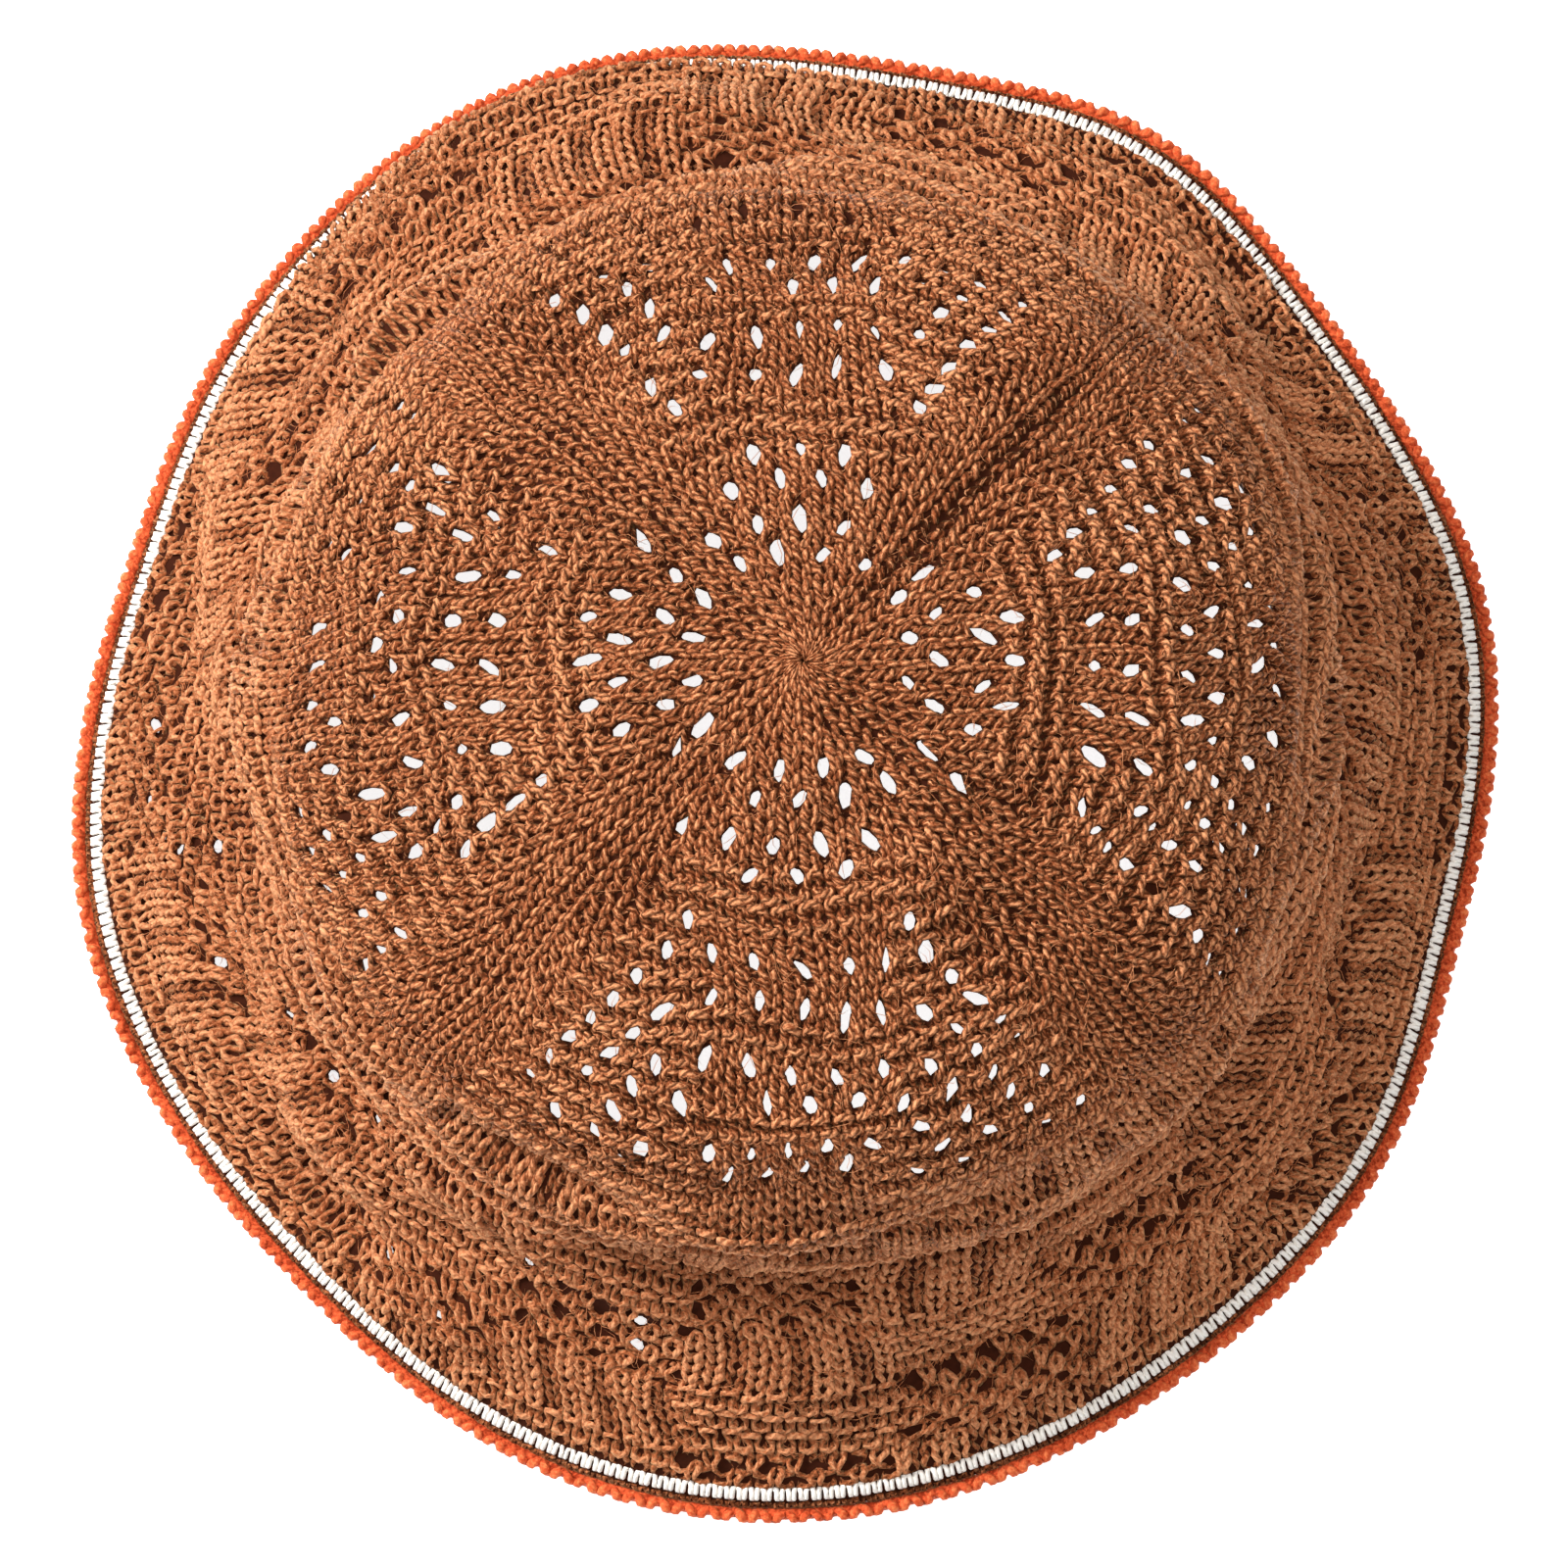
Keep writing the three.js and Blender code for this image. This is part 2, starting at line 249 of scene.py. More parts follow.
# Loops of the border: their points as place, rise towards the crown, and lift
PALE_LOOP = (
    (0.00, 1.00, -0.0006),
    (0.24, 0.95, 0.0001),
    (0.29, 0.50, 0.0004),
    (0.29, -0.70, 0.0004),
    (0.50, -1.00, -0.0002),
    (0.71, -0.70, 0.0004),
    (0.71, 0.50, 0.0004),
    (0.76, 0.95, 0.0001),
)
ORANGE_LOOP = (
    (0.00, 0.95, -0.0004),
    (0.17, 0.75, 0.0004),
    (0.27, 0.25, 0.0009),
    (0.28, -0.35, 0.0008),
    (0.36, -0.80, 0.0003),
    (0.50, -0.95, -0.0002),
    (0.64, -0.80, 0.0003),
    (0.72, -0.35, 0.0008),
    (0.73, 0.25, 0.0009),
    (0.83, 0.75, 0.0004),
)
CORD_LOOP = ((0.0, 0.0, -0.0007), (0.33, 0.2, -0.0007), (0.66, -0.2, -0.0007))
DARK_LOOP = ((0.0, -0.9, -0.0009), (0.25, -0.3, -0.0004), (0.5, 0.9, -0.0009), (0.75, 0.3, -0.0004))
# Lines of the border: name, loop, loops for each one of the edging, distance from the edge, half of
# the rise, sides of the yarn, tone, and painted light and shade by lift (raised parts lighter, sunk parts
# darker)
PALE_LINE = ("cream_strokes", PALE_LOOP, 2, 0.0055, 0.00095, 5, 0.75, 400)
ORANGE_LINE = ("orange_loops", ORANGE_LOOP, 1, 0.0014, 0.0005, 6, 0.5, 350)
CORD_LINE = ("orange_cord", CORD_LOOP, 1, 0.0016, 0.0002, 6, 0.35, 0)
# The brown cord's low tone is painted shade: it lies deep between the stripe and the edging
DARK_LINE = ("brim_edge_cord", DARK_LOOP, 2, 0.0034, 0.0005, 4, 0.15, 0)
CORD_YARN = 0.0011
DARK_YARN = 0.0009
BORDER_STRAY = (0.02, 0.04, 0.05, 0.06)  # of place, rise, thickness and tone
FLOOR_REST = 0.9  # height at which yarn lies on the floor, as a share of its radius

# The look of plied yarn. Noise is scale, detail and roughness
PLIES = 2.0
STRAND_ROUND, STRAND_ALONG = 0.28, 0.35  # how fast the fine strands change round the yarn and along it
STRAND_NOISE = (2.2, 3.0, 0.7)
FLECK_NOISE = (1700.0, 1.0, 0.6)
PATCH_NOISE = (38.0, 1.0, 0.5)
FLECK_TONE, STRAND_TONE, PATCH_TONE = 1.7, 1.1, 0.4
# Tone runs from the shade colour through the body to the light colour, which holds painted light on raised
# parts and painted highlights
SHADE_TO_BODY = (0.0, 0.62)  # tones between which the colour changes
BODY_TO_LIGHT = (0.7, 1.5, 0.0, 0.7)  # and how far it changes
STRAND_LIGHT = 0.3
# Painted highlight on the crests of the plies, and painted shade in their grooves
CREST_HIGHLIGHT_PLY, CREST_HIGHLIGHT_STRAND = (0.55, 0.95), (0.44, 0.66)
GROOVE_SHADE_PLY = (0.0, 0.5, 0.95, 0.0)
STRAND_GLOSS = (0.25, 0.75, 0.72, 0.42)
PLY_HEIGHT, STRAND_HEIGHT, FLECK_HEIGHT = 0.7, 0.4, 0.6
BUMP, CRISP_BUMP, BUMP_DEPTH = 0.4, 0.6, 0.0003
YARN_SHINE = 0.18
FUZZ_ROUGHNESS = 0.45
FUZZ_PALER = (0.4, 0.26, 0.08)  # share of the way from the yarn's lightest colour to white
# The brown yarn, and how far wear changes it: softer and fuzzier yarn, with colours painted paler as
# painted light
BROWN_TURNS = 0.55  # in a millimetre
BROWN_CRISP, WORN_CRISP = 0.85, 0.5
BROWN_FUZZ, WORN_FUZZ = 0.1, 0.3
PAINTED_PALER_SHADE = 0.8
PAINTED_PALER_BODY = (0.42, 0.56, 0.60)
PAINTED_PALER_LIGHT = (0.0, 0.06, 0.12)
# The border's yarns: light, turns in a millimetre, crispness and fuzz
PALE_LOOK = ((0.98, 0.95, 0.9), 0.5, 0.12, 0.2)
ORANGE_LOOK = ((0.95, 0.28, 0.1), 0.45, 0.15, 0.2)
# The dark layer
LAYER_SHADES = (0.6, 2.0)  # of the brown between the loops
LAYER_NOISE = (900.0, 2.0, 0.5)
LAYER_ROUGHNESS, LAYER_SHINE = 0.95, 0.1

# The stage: size and place of the lamps, and what they look at
KEY_LAMP = (0.5, (-1.0, 0.4, 0.93))
TOP_LAMP = (0.9, (0.1, -0.1, 1.6))
LAMP_AIM = (0, 0, 0.05)
WHITE = (1, 1, 1, 1)
FLOOR_COLOUR = (0.92, 0.92, 0.92, 1)
FLOOR_ROUGHNESS = 0.9
SENSOR = 36.0  # millimetres
NEAREST = 0.05  # that the camera sees


class KnitSettings(bpy.types.PropertyGroup):
    """Sizes and colours of the brown knit."""

    wall: FloatProperty(
        name="Wall", description="Thickness of the knitted wall", default=0.0024, unit="LENGTH"
    )
    yarn: FloatProperty(name="Yarn", description="Radius of the yarn", default=0.00078, unit="LENGTH")
    rise: FloatProperty(
        name="Rise", description="Reach of a loop into its neighbours, in rounds", default=0.78
    )
    lean: FloatProperty(name="Lean", description="Lean of the legs of a loop, in stitches", default=0.24)
    depth: FloatProperty(
        name="Depth", description="How far a loop stands out and in", default=0.0006, unit="LENGTH"
    )
    eyelet_width: FloatProperty(
        name="Eyelet width", description="Clear width", default=0.0010, unit="LENGTH"
    )
    eyelet_height: FloatProperty(
        name="Eyelet height", description="Clear height", default=0.0027, unit="LENGTH"
    )
    body: FloatVectorProperty(
        name="Body", description="Brown of the yarn", default=(0.27, 0.070, 0.024), subtype="COLOR"
    )
    shade: FloatVectorProperty(
        name="Shade", description="Brown deep between the loops",
        default=(0.028, 0.006, 0.002), subtype="COLOR",
    )
    # The light brown also serves for painted highlights on the crests of the plies and painted light on
    # raised parts
    light: FloatVectorProperty(
        name="Light", description="Brown of the raised fibres", default=(0.88, 0.39, 0.18), subtype="COLOR"
    )
    seed: IntProperty(name="Seed", description="Start of the small differences between loops", default=7)


class BorderSettings(bpy.types.PropertyGroup):
    """Sizes and colours of the pale stripe and the edging."""

    loops: IntProperty(name="Loops", description="Loops of the border round the hat", default=188)
    stripe_yarn: FloatProperty(
        name="Stripe yarn", description="Radius of the pale yarn", default=0.00052, unit="LENGTH"
    )
    edging_yarn: FloatProperty(
        name="Edging yarn", description="Radius of the orange yarn", default=0.00086, unit="LENGTH"
    )
    cream: FloatVectorProperty(
        name="Cream", description="Pale yarn", default=(0.96, 0.92, 0.85), subtype="COLOR"
    )
    cream_shade: FloatVectorProperty(
        name="Cream shade", description="Pale yarn between strands",
        default=(0.42, 0.33, 0.24), subtype="COLOR",
    )
    orange: FloatVectorProperty(
        name="Orange", description="Orange yarn", default=(0.63, 0.090, 0.030), subtype="COLOR"
    )
    orange_shade: FloatVectorProperty(
        name="Orange shade", description="Orange yarn between strands",
        default=(0.25, 0.025, 0.008), subtype="COLOR",
    )


class StageSettings(bpy.types.PropertyGroup):
    """Camera, floor and light."""

    elevation: FloatProperty(
        name="Elevation", description="Camera above the floor", default=math.radians(79), subtype="ANGLE"
    )
    distance: FloatProperty(
        name="Distance", description="Camera to the floor's middle", default=1.0, unit="LENGTH"
    )
    lens: FloatProperty(name="Lens", description="Focal length in millimetres", default=125.0)
    aim: FloatVectorProperty(
        name="Aim", description="Point at the middle of the picture",
        default=(-0.00054, -0.00255, 0.0), subtype="XYZ",
    )
    floor_size: FloatProperty(name="Floor", description="Side of the floor", default=6.0, unit="LENGTH")
    floor_glow: FloatProperty(
        name="Floor glow", description="Light that the pale floor gives back by itself", default=0.85
    )
    key_power: FloatProperty(
        name="Key", description="Power of the lamp at the side", default=27.5, unit="POWER"
    )
    top_power: FloatProperty(
        name="Top", description="Power of the large lamp above", default=17.0, unit="POWER"
    )
    sky: FloatProperty(name="Sky", description="Strength of the light from all round", default=0.15)


def ramp(value, start, end):
    """0 before start, 1 after end, and smooth between."""
    t = np.clip((value - start) / (end - start), 0.0, 1.0)
    return t * t * (3 - 2 * t)


def direction(vectors):
    """The directions of some vectors."""
    return vectors / np.linalg.norm(vectors, axis=-1, keepdims=True)


def length_along(points):
    """Lengths along lines of points, from the first point of each."""
    steps = np.linalg.norm(np.diff(points, axis=-2), axis=-1)
    return np.concatenate([np.zeros_like(steps[..., :1]), np.cumsum(steps, axis=-1)], axis=-1)


def crown_profile(samples=60):
    """The crown's section as a smooth curve: lengths along it, points and directions."""
    knots = np.array([(reach, height) for _, reach, height in CROWN_SECTIONS])
    padded = np.vstack([knots[:1], knots, knots[-1:]])
    t = np.linspace(0, 1, samples, endpoint=False)[:, None]
    points = []
    for a, b, c, d in zip(padded, padded[1:], padded[2:], padded[3:]):
        out, back = (c - a) / 2, (d - b) / 2
        bent = (2 * b - 2 * c + out + back) * t**3 + (3 * c - 3 * b - 2 * out - back) * t**2
        points.append(bent + out * t + b)
    points = np.vstack(points + [knots[-1:]])
    along = length_along(points)
    return along, points, direction(np.gradient(points, along, axis=0))


def crown_face(share, angle):
    """Points of the crown's outer face at shares of the way from the middle to the hem."""
    along, points, run = crown_profile()
    at = share * along[-1]
    reach, height = (np.interp(at, along, points[:, k]) for k in (0, 1))
    run_out, run_up = (np.interp(at, along, run[:, k]) for k in (0, 1))
    off_line = np.abs(np.mod(angle, QUARTER) - QUARTER / 2) * reach / CREASE_WIDTH
    sunk = CREASE_DEPTH * np.exp(-(off_line**2)) * ramp(reach, 0, 2 * CREASE_WIDTH) * (1 - share)
    corner = 1 + CORNER_SWELL * share * (1 - np.cos(QUARTERS * angle)) / 2
    out = (reach + run_up * sunk) * corner
    x = out * np.cos(angle) + LEAN_X * (1 - share)
    y = out * np.sin(angle) * CROWN_OVAL + LEAN_Y * (1 - share)
    return np.stack([x, y, height - run_out * sunk], axis=-1)


def brim_folds(angles):
    """Push outwards, lift and turn down of the brim's edge at some angles."""
    degrees = np.degrees(angles)
    push, lift, turn = np.zeros_like(angles), np.full_like(angles, -SETTLE), np.zeros_like(angles)
    for at, spread, out, up, down in FOLDS:
        weight = np.exp(-((((degrees - at + 180) % 360 - 180) / spread) ** 2))
        push, lift, turn = push + out * weight, lift + up * weight, turn + down * weight
    return push, lift, turn


def brim_lines(angles, samples=65):
    """The brim's outer face: for each angle a curve from the hem to the edge, with lengths along it."""
    push, lift, turn = brim_folds(angles)
    wide, deep = BRIM_WIDTH / 2, BRIM_DEPTH / 2
    reach = wide * deep / np.hypot(deep * np.cos(angles), wide * np.sin(angles)) + push
    hem = crown_face(np.ones_like(angles), angles)
    rise = EDGE_RISE + np.maximum(lift, 0)
    edge = np.stack([reach * np.cos(angles), reach * np.sin(angles), rise], axis=-1)
    out, down = ((a + (b - a) * turn)[:, None] for a, b in zip(FLARED, TURNED))
    pull = hem + (edge - hem) * np.hstack([out, out, down])
    flare = hem + (pull - hem) * 2 / 3
    rolled = edge + np.array([0, 0, ROLL])
    fall = edge + (pull - edge) * 2 / 3
    fall = fall + (rolled - fall) * np.maximum(turn, 0)[:, None]
    t = np.linspace(0, 1, samples)[None, :, None]
    flared = hem[:, None] * (1 - t) ** 3 + flare[:, None] * 3 * t * (1 - t) ** 2
    points = flared + fall[:, None] * 3 * t**2 * (1 - t) + edge[:, None] * t**3
    return length_along(points), points


class Waves:
    """A smooth seeded field over rounds and angles, of about unit size."""

    def __init__(self, rng, turns, spans, count=9):
        self.turns = rng.integers(turns[0], turns[1] + 1, count)
        self.slopes = TURN / rng.uniform(*spans, count) * rng.choice((-1, 1), count)
        self.phases = rng.uniform(0, TURN, count)

    def at(self, rounds, angle):
        """Height of the field."""
        rounds, angle = np.broadcast_arrays(rounds, angle)
        height = np.zeros(rounds.shape)
        for turns, slope, phase in zip(self.turns, self.slopes, self.phases):
            height += np.sin(turns * angle + slope * rounds + phase)
        return height * math.sqrt(2 / len(self.turns))


class Cloth:
    """The hat's outer face as one sheet, addressed by round and angle.

    The border follows the last round of the brim.
    """

    def __init__(self, seed):
        rng = np.random.default_rng(seed)
        angles = np.arange(GRID_ANGLES) * TURN / GRID_ANGLES
        self.row = crown_profile()[0][-1] / CROWN_ROUNDS
        self.end = KNIT_ROUNDS + BORDER / self.row
        self.rounds = np.arange(0, self.end + GRID_STEP, GRID_STEP)
        at, turned = np.meshgrid(self.rounds, angles, indexing="ij")
        points = crown_face(np.minimum(at / CROWN_ROUNDS, 1.0), turned)
        along, lines = brim_lines(angles)
        on_brim = self.rounds > CROWN_ROUNDS
        past = self.rounds[on_brim] - CROWN_ROUNDS
        for k in range(GRID_ANGLES):
            knit = along[k, -1] - BORDER
            on_border = knit + (past - BRIM_ROUNDS) * self.row
            down = np.where(past <= BRIM_ROUNDS, past / BRIM_ROUNDS * knit, on_border)
            for axis in range(3):
                points[on_brim, k, axis] = np.interp(down, along[k], lines[k, :, axis])
        edge = lines[:, -1]
        points[..., :2] -= (edge[:, :2].min(axis=0) + edge[:, :2].max(axis=0)) / 2
        soft = np.zeros(at.shape)
        for _, sets_in, fades, turns, spans, height in SOFT_CLOTH:
            part = ramp(at, *sets_in) * (1 - ramp(at, *fades))
            soft += part * height * Waves(rng, turns, spans).at(at, turned)
        lip = np.interp(at - KNIT_ROUNDS, *np.transpose(TURNED_LIP))
        over = np.maximum(brim_folds(angles)[2], 0) * lip
        points[..., 0] += over * np.cos(turned)
        points[..., 1] += over * np.sin(turned)
        self.points = points + self.facing(points) * soft[..., None]
        self.outward = self.facing(self.points)
        self.reaches = np.hypot(self.points[..., 0], self.points[..., 1]).mean(axis=1)
        self.drift_along, self.drift_across = (Waves(rng, *DRIFT_WAVES) for _ in range(2))

    @staticmethod
    def facing(points):
        """Outward directions of a sheet of points."""
        along_run = np.gradient(points, axis=0)
        round_run = np.roll(points, -1, axis=1) - np.roll(points, 1, axis=1)
        outward = np.cross(along_run, round_run)
        outward[0] = (0, 0, 1)
        return direction(outward)

    def reach(self, rounds):
        """Mean distance of some rounds from the middle."""
        return np.interp(rounds, self.rounds, self.reaches)

    def drifted(self, rounds, angle):
        """Rounds and angles as the stitches stray a little over the cloth."""
        loose = ramp(rounds, *DRIFT_SETS_IN) * (1 - ramp(rounds, *DRIFT_FADES))
        along = self.drift_along.at(rounds, angle) * DRIFT / self.row
        across = self.drift_across.at(rounds, angle) * DRIFT / np.maximum(self.reach(rounds), DRIFT_REACH)
        return rounds + loose * along, angle + loose * across

    def sample(self, table, rounds, angle):
        """Values of a table of the sheet between its corners."""
        down = np.clip(np.asarray(rounds) / GRID_STEP, 0, len(table) - 1.001)
        across = np.mod(angle, TURN) / TURN * GRID_ANGLES
        i, k = down.astype(int), across.astype(int) % GRID_ANGLES
        a, b = (down - i)[..., None], (across - np.floor(across))[..., None]
        k_next = (k + 1) % GRID_ANGLES
        near = table[i, k] * (1 - b) + table[i, k_next] * b
        far = table[i + 1, k] * (1 - b) + table[i + 1, k_next] * b
        return near * (1 - a) + far * a

    def place(self, rounds, angle, lift):
        """Points at a height over the outer face, and the outward directions there."""
        outward = direction(self.sample(self.outward, rounds, angle))
        return self.sample(self.points, rounds, angle) + outward * np.asarray(lift)[..., None], outward


def grown_stitches(rounds):
    """Stitches across a quarter as the cloth widens: one a round on the crown, fewer on the brim."""
    flare = np.clip((rounds - CROWN_ROUNDS) / BRIM_ROUNDS, 0, 1)
    return np.clip(rounds + 0.5, FIRST_STITCHES, HEM_STITCHES) + (EDGE_STITCHES - HEM_STITCHES) * flare


def stitches_in_quarter(knit_round):
    """Whole stitches in a quarter of the hat on a round, an even number so that they stay in line."""
    return 2 * math.floor(grown_stitches(knit_round) / 2 + 0.25)


def stitch_angle(quarter, place, knit_round, ahead):
    """Angle of a place in a quarter, ahead of its round. Beside a decrease line it follows the line."""
    count = stitches_in_quarter(knit_round)
    straight = ramp(count / 2 - np.abs(place), 0.5, LINE_STITCHES)
    share = straight / grown_stitches(knit_round + ahead) + (1 - straight) / count
    return QUARTER * (quarter + place * share)


def wear_and_light_of(knit_round):
    """How far the yarn of a round is worn, from 0 to 1, which also sets how far its colours are painted
    paler as painted light.
    """
    return float(np.interp(knit_round, *np.transpose(WEAR_AND_LIGHT)))


def laid(cloth, rounds, angle, on_crown):
    """Rounds and angles on the cloth of a knitted place. On the crown rounds run straighter."""
    if on_crown:
        off = np.mod(angle + QUARTER / 2, QUARTER) - QUARTER / 2
        share = SQUARE * (1 - ramp(rounds, *SQUARE_FADES))
        rounds = rounds * (1 + share * (1 / np.cos(off) - 1))
    return cloth.drifted(rounds, angle)


def eyelet_table(rows, rng, size, spread):
    """Eyelets from rows of quarter, place and round: angle, round, width, height and slant."""
    jitter = rng.normal(0, 1, (len(rows), 5))
    table = []
    for (quarter, place, knit_round), (aside, ahead, wide, tall, slant) in zip(rows, jitter):
        ahead = EYELET_AHEAD + EYELET_STRAY[1] * ahead
        angle = stitch_angle(quarter, place + EYELET_STRAY[0] * aside, knit_round, ahead)
        least, most = (share * size for share in EYELET_SIZES)
        sizes = np.clip(size + spread * np.array([wide, tall]), least, most)
        table.append((angle, knit_round + ahead, *sizes, EYELET_SLANT * slant))
    return np.array(table)


def crown_eyelets(rng):
    """Eyelets of the crown's panels and mesh, and which of them light shines through."""
    rows, through = [], []
    for quarter in range(QUARTERS):
        own = [
            ((k - (count - 1) / 2) * EYELET_PITCH, knit_round, True)
            for knit_round, count in PANEL_EYELETS
            for k in range(count)
        ]
        for step, knit_round in enumerate(MESH_ROUNDS):
            half = stitches_in_quarter(knit_round) / 2
            for place in np.arange(MESH_FROM + step % 2, half - MESH_SHADED, EYELET_PITCH):
                for at in (place, -place):
                    if all(math.hypot(at - x, knit_round - y) > MESH_APART for x, y, _ in own):
                        shines = place < half - MESH_CLEAR and rng.random() < MESH_KEPT
                        own.append((at, knit_round, shines))
        rows.extend((quarter, place, knit_round) for place, knit_round, _ in own)
        through.extend(shines and (quarter != BACK or at < BACK_CLOSED) for _, at, shines in own)
    table, through = eyelet_table(rows, rng, *CROWN_EYELETS), np.array(through)
    table[~through, 2:4] *= SHADED_SIZE
    return table, through


def brim_block(quarter, share, knit_round):
    """Kind of block at a share of a quarter on a round of the brim."""
    block = np.floor((share + 0.5) * BRIM_BLOCKS).astype(int) + quarter * BRIM_BLOCKS
    tier = int((knit_round - CROWN_ROUNDS - 1) // BRIM_TIER)
    return (block + tier) % len(KINDS)


def brim_eyelets(rng):
    """Eyelets in the lace blocks of the brim."""
    rows = []
    for knit_round in range(LACE_FROM, KNIT_ROUNDS, LACE_STEP):
        half = stitches_in_quarter(knit_round) // 2
        for quarter in range(QUARTERS):
            for place in range(1 - half + knit_round // 2 % 2, half, EYELET_PITCH):
                if brim_block(quarter, np.array(place / half / 2), knit_round) == LACE:
                    rows.append((quarter, place, knit_round))
    return eyelet_table(rows, rng, *BRIM_EYELETS)


def rib_relief(place):
    """How far the stitches of a rib stand up, column by column."""
    return np.where(np.floor(place) % RIB_COLUMNS == 0, -RIB_HEIGHT, RIB_HEIGHT)


def garter_face(knit_round):
    """Face of a garter round: every other one is purled."""
    return -1.0 if knit_round % 2 else 1.0


def crown_chart(knit_round, quarter, place, count):
    """Face of each stitch of a crown round, +1 knit and -1 purl, and how far it stands up."""
    if knit_round >= GARTER_FROM:
        block = np.floor((place / count + 0.5) * WALL_BLOCKS).astype(int) + quarter
        tier = (knit_round - GARTER_FROM) // WALL_TIER
        ribbed = (block + tier) % len(KINDS) == RIB
        face = np.where(ribbed, 1.0, garter_face(knit_round))
        return face, np.where(ribbed, rib_relief(place), np.where(face < 0, *WALL_RIDGE))
    face = np.ones_like(place)
    off_line = count / 2 - np.abs(place) > LINE_CLEAR
    if knit_round in RIDGES:
        face[(np.abs(place) < PANEL_HALF) & off_line] = -1
    if knit_round % 2 and knit_round > MESH_ROUNDS[0]:
        face[(np.abs(place) > MESH_FROM - 1) & off_line] = -1
    return face, np.where(face < 0, *TOP_RIDGE)


def brim_chart(knit_round, quarter, place, count):
    """Face and relief of each stitch of a brim round."""
    kind = brim_block(quarter, place / count, knit_round)
    garter = np.full_like(place, garter_face(knit_round))
    lace = np.where((np.floor(place) + knit_round) % 2 == 0, -1.0, 1.0)
    face = np.choose(kind, [np.ones_like(place), garter, lace])
    reliefs = [rib_relief(place), np.where(garter < 0, *BRIM_RIDGE), LACE_HEIGHT * lace]
    return face, np.choose(kind, reliefs)


def rings(run, outward, turn):
    """Directions round a yarn at each of its points, at some turns from the one that looks outward."""
    side = direction(np.cross(run, outward))
    up = np.cross(side, run)
    return np.cos(turn)[:, None] * up[:, None] + np.sin(turn)[:, None] * side[:, None]


def grid_faces(count, around):
    """Four-cornered faces of a grid of points that is closed both ways, ring by ring."""
    ring, k = np.meshgrid(np.arange(count), np.arange(around), indexing="ij")
    here, ahead, over = ring * around, (ring + 1) % count * around, (k + 1) % around
    return np.stack([here + k, here + over, ahead + over, ahead + k], axis=-1).reshape(-1, 4)


class Skein:
    """Tubes of yarn gathered into one mesh."""

    def __init__(self):
        self.vertices, self.faces, self.uvs, self.tones, self.count = [], [], [], [], 0

    def add(self, points, outward, radius, tone, sides):
        """A closed tube along a closed line. One edge of it looks outward."""
        n = len(points)
        run = direction(np.roll(points, -1, axis=0) - np.roll(points, 1, axis=0))
        ring = rings(run, outward, (np.arange(sides) / sides + 0.5) * TURN)
        tube = (points[:, None] + ring * np.asarray(radius)[:, None, None]).reshape(-1, 3)
        tube[:, 2] = np.maximum(tube[:, 2], 0)
        self.vertices.append(tube)
        self.faces.append(grid_faces(n, sides) + self.count)
        along = length_along(np.vstack([points, points[:1]])) * MILLIMETRES
        near, far = np.repeat(along[:-1], sides), np.repeat(along[1:], sides)
        k = np.tile(np.arange(sides), n)
        u = np.stack([near, near, far, far], axis=-1)
        v = np.stack([k, k + 1, k + 1, k], axis=-1) / sides
        self.uvs.append(np.stack([u, v], axis=-1).reshape(-1, 2))
        self.tones.append(np.repeat(tone, sides))
        self.count += n * sides

    def build(self, name, material):
        """The tubes as one object at the origin."""
        vertices, faces, uvs = (np.vstack(rows) for rows in (self.vertices, self.faces, self.uvs))
        return add_mesh(name, vertices, faces, material, uvs=uvs, tones=np.concatenate(self.tones))


def fill(layer, name, values, kind=np.float32):
    """Sets one value of all the elements of a layer from an array."""
    layer.foreach_set(name, np.ascontiguousarray(values, dtype=kind).ravel())


def add_mesh(name, vertices, faces, material, uvs=None, tones=None):
    """A mesh object from arrays of corners and of faces, with smooth shading."""
    mesh = bpy.data.meshes.new(name)
    mesh.vertices.add(len(vertices))
    fill(mesh.vertices, "co", vertices)
    mesh.loops.add(faces.size)
    fill(mesh.loops, "vertex_index", faces, np.int32)
    mesh.polygons.add(len(faces))
    fill(mesh.polygons, "loop_start", np.arange(0, faces.size, faces.shape[1]), np.int32)
    if uvs is not None:
        fill(mesh.uv_layers.new(name="yarn").data, "uv", uvs)
    if tones is not None:
        fill(mesh.attributes.new("tone", "FLOAT", "POINT").data, "value", tones)
    mesh.update(calc_edges=True)
    mesh.shade_smooth()
    mesh.materials.append(material)
    piece = bpy.data.objects.new(name, mesh)
    bpy.context.collection.objects.link(piece)
    return piece


def eyelet_halves(cloth, eyelet, margin, settings):
    """Half the width of an eyelet, as an angle, and half its height, in rounds, with a margin."""
    _, at_round, wide, tall, _ = eyelet
    half_wide = (settings.eyelet_width / 2 * wide + margin) / cloth.reach(at_round)
    return half_wide, (settings.eyelet_height / 2 * tall + margin) / cloth.row


def eyelet_frame(cloth, rounds, angle, eyelet, settings):
    """Places as seen from an eyelet: across and along it in halves of its size, and those halves."""
    at_angle, at_round, _, _, slant = eyelet
    half_wide, half_tall = eyelet_halves(cloth, eyelet, settings.yarn, settings)
    along = (rounds - at_round) / half_tall
    across = (np.mod(angle - at_angle + TURN / 2, TURN) - TURN / 2) / half_wide - slant * along
    return across, along, half_wide, half_tall


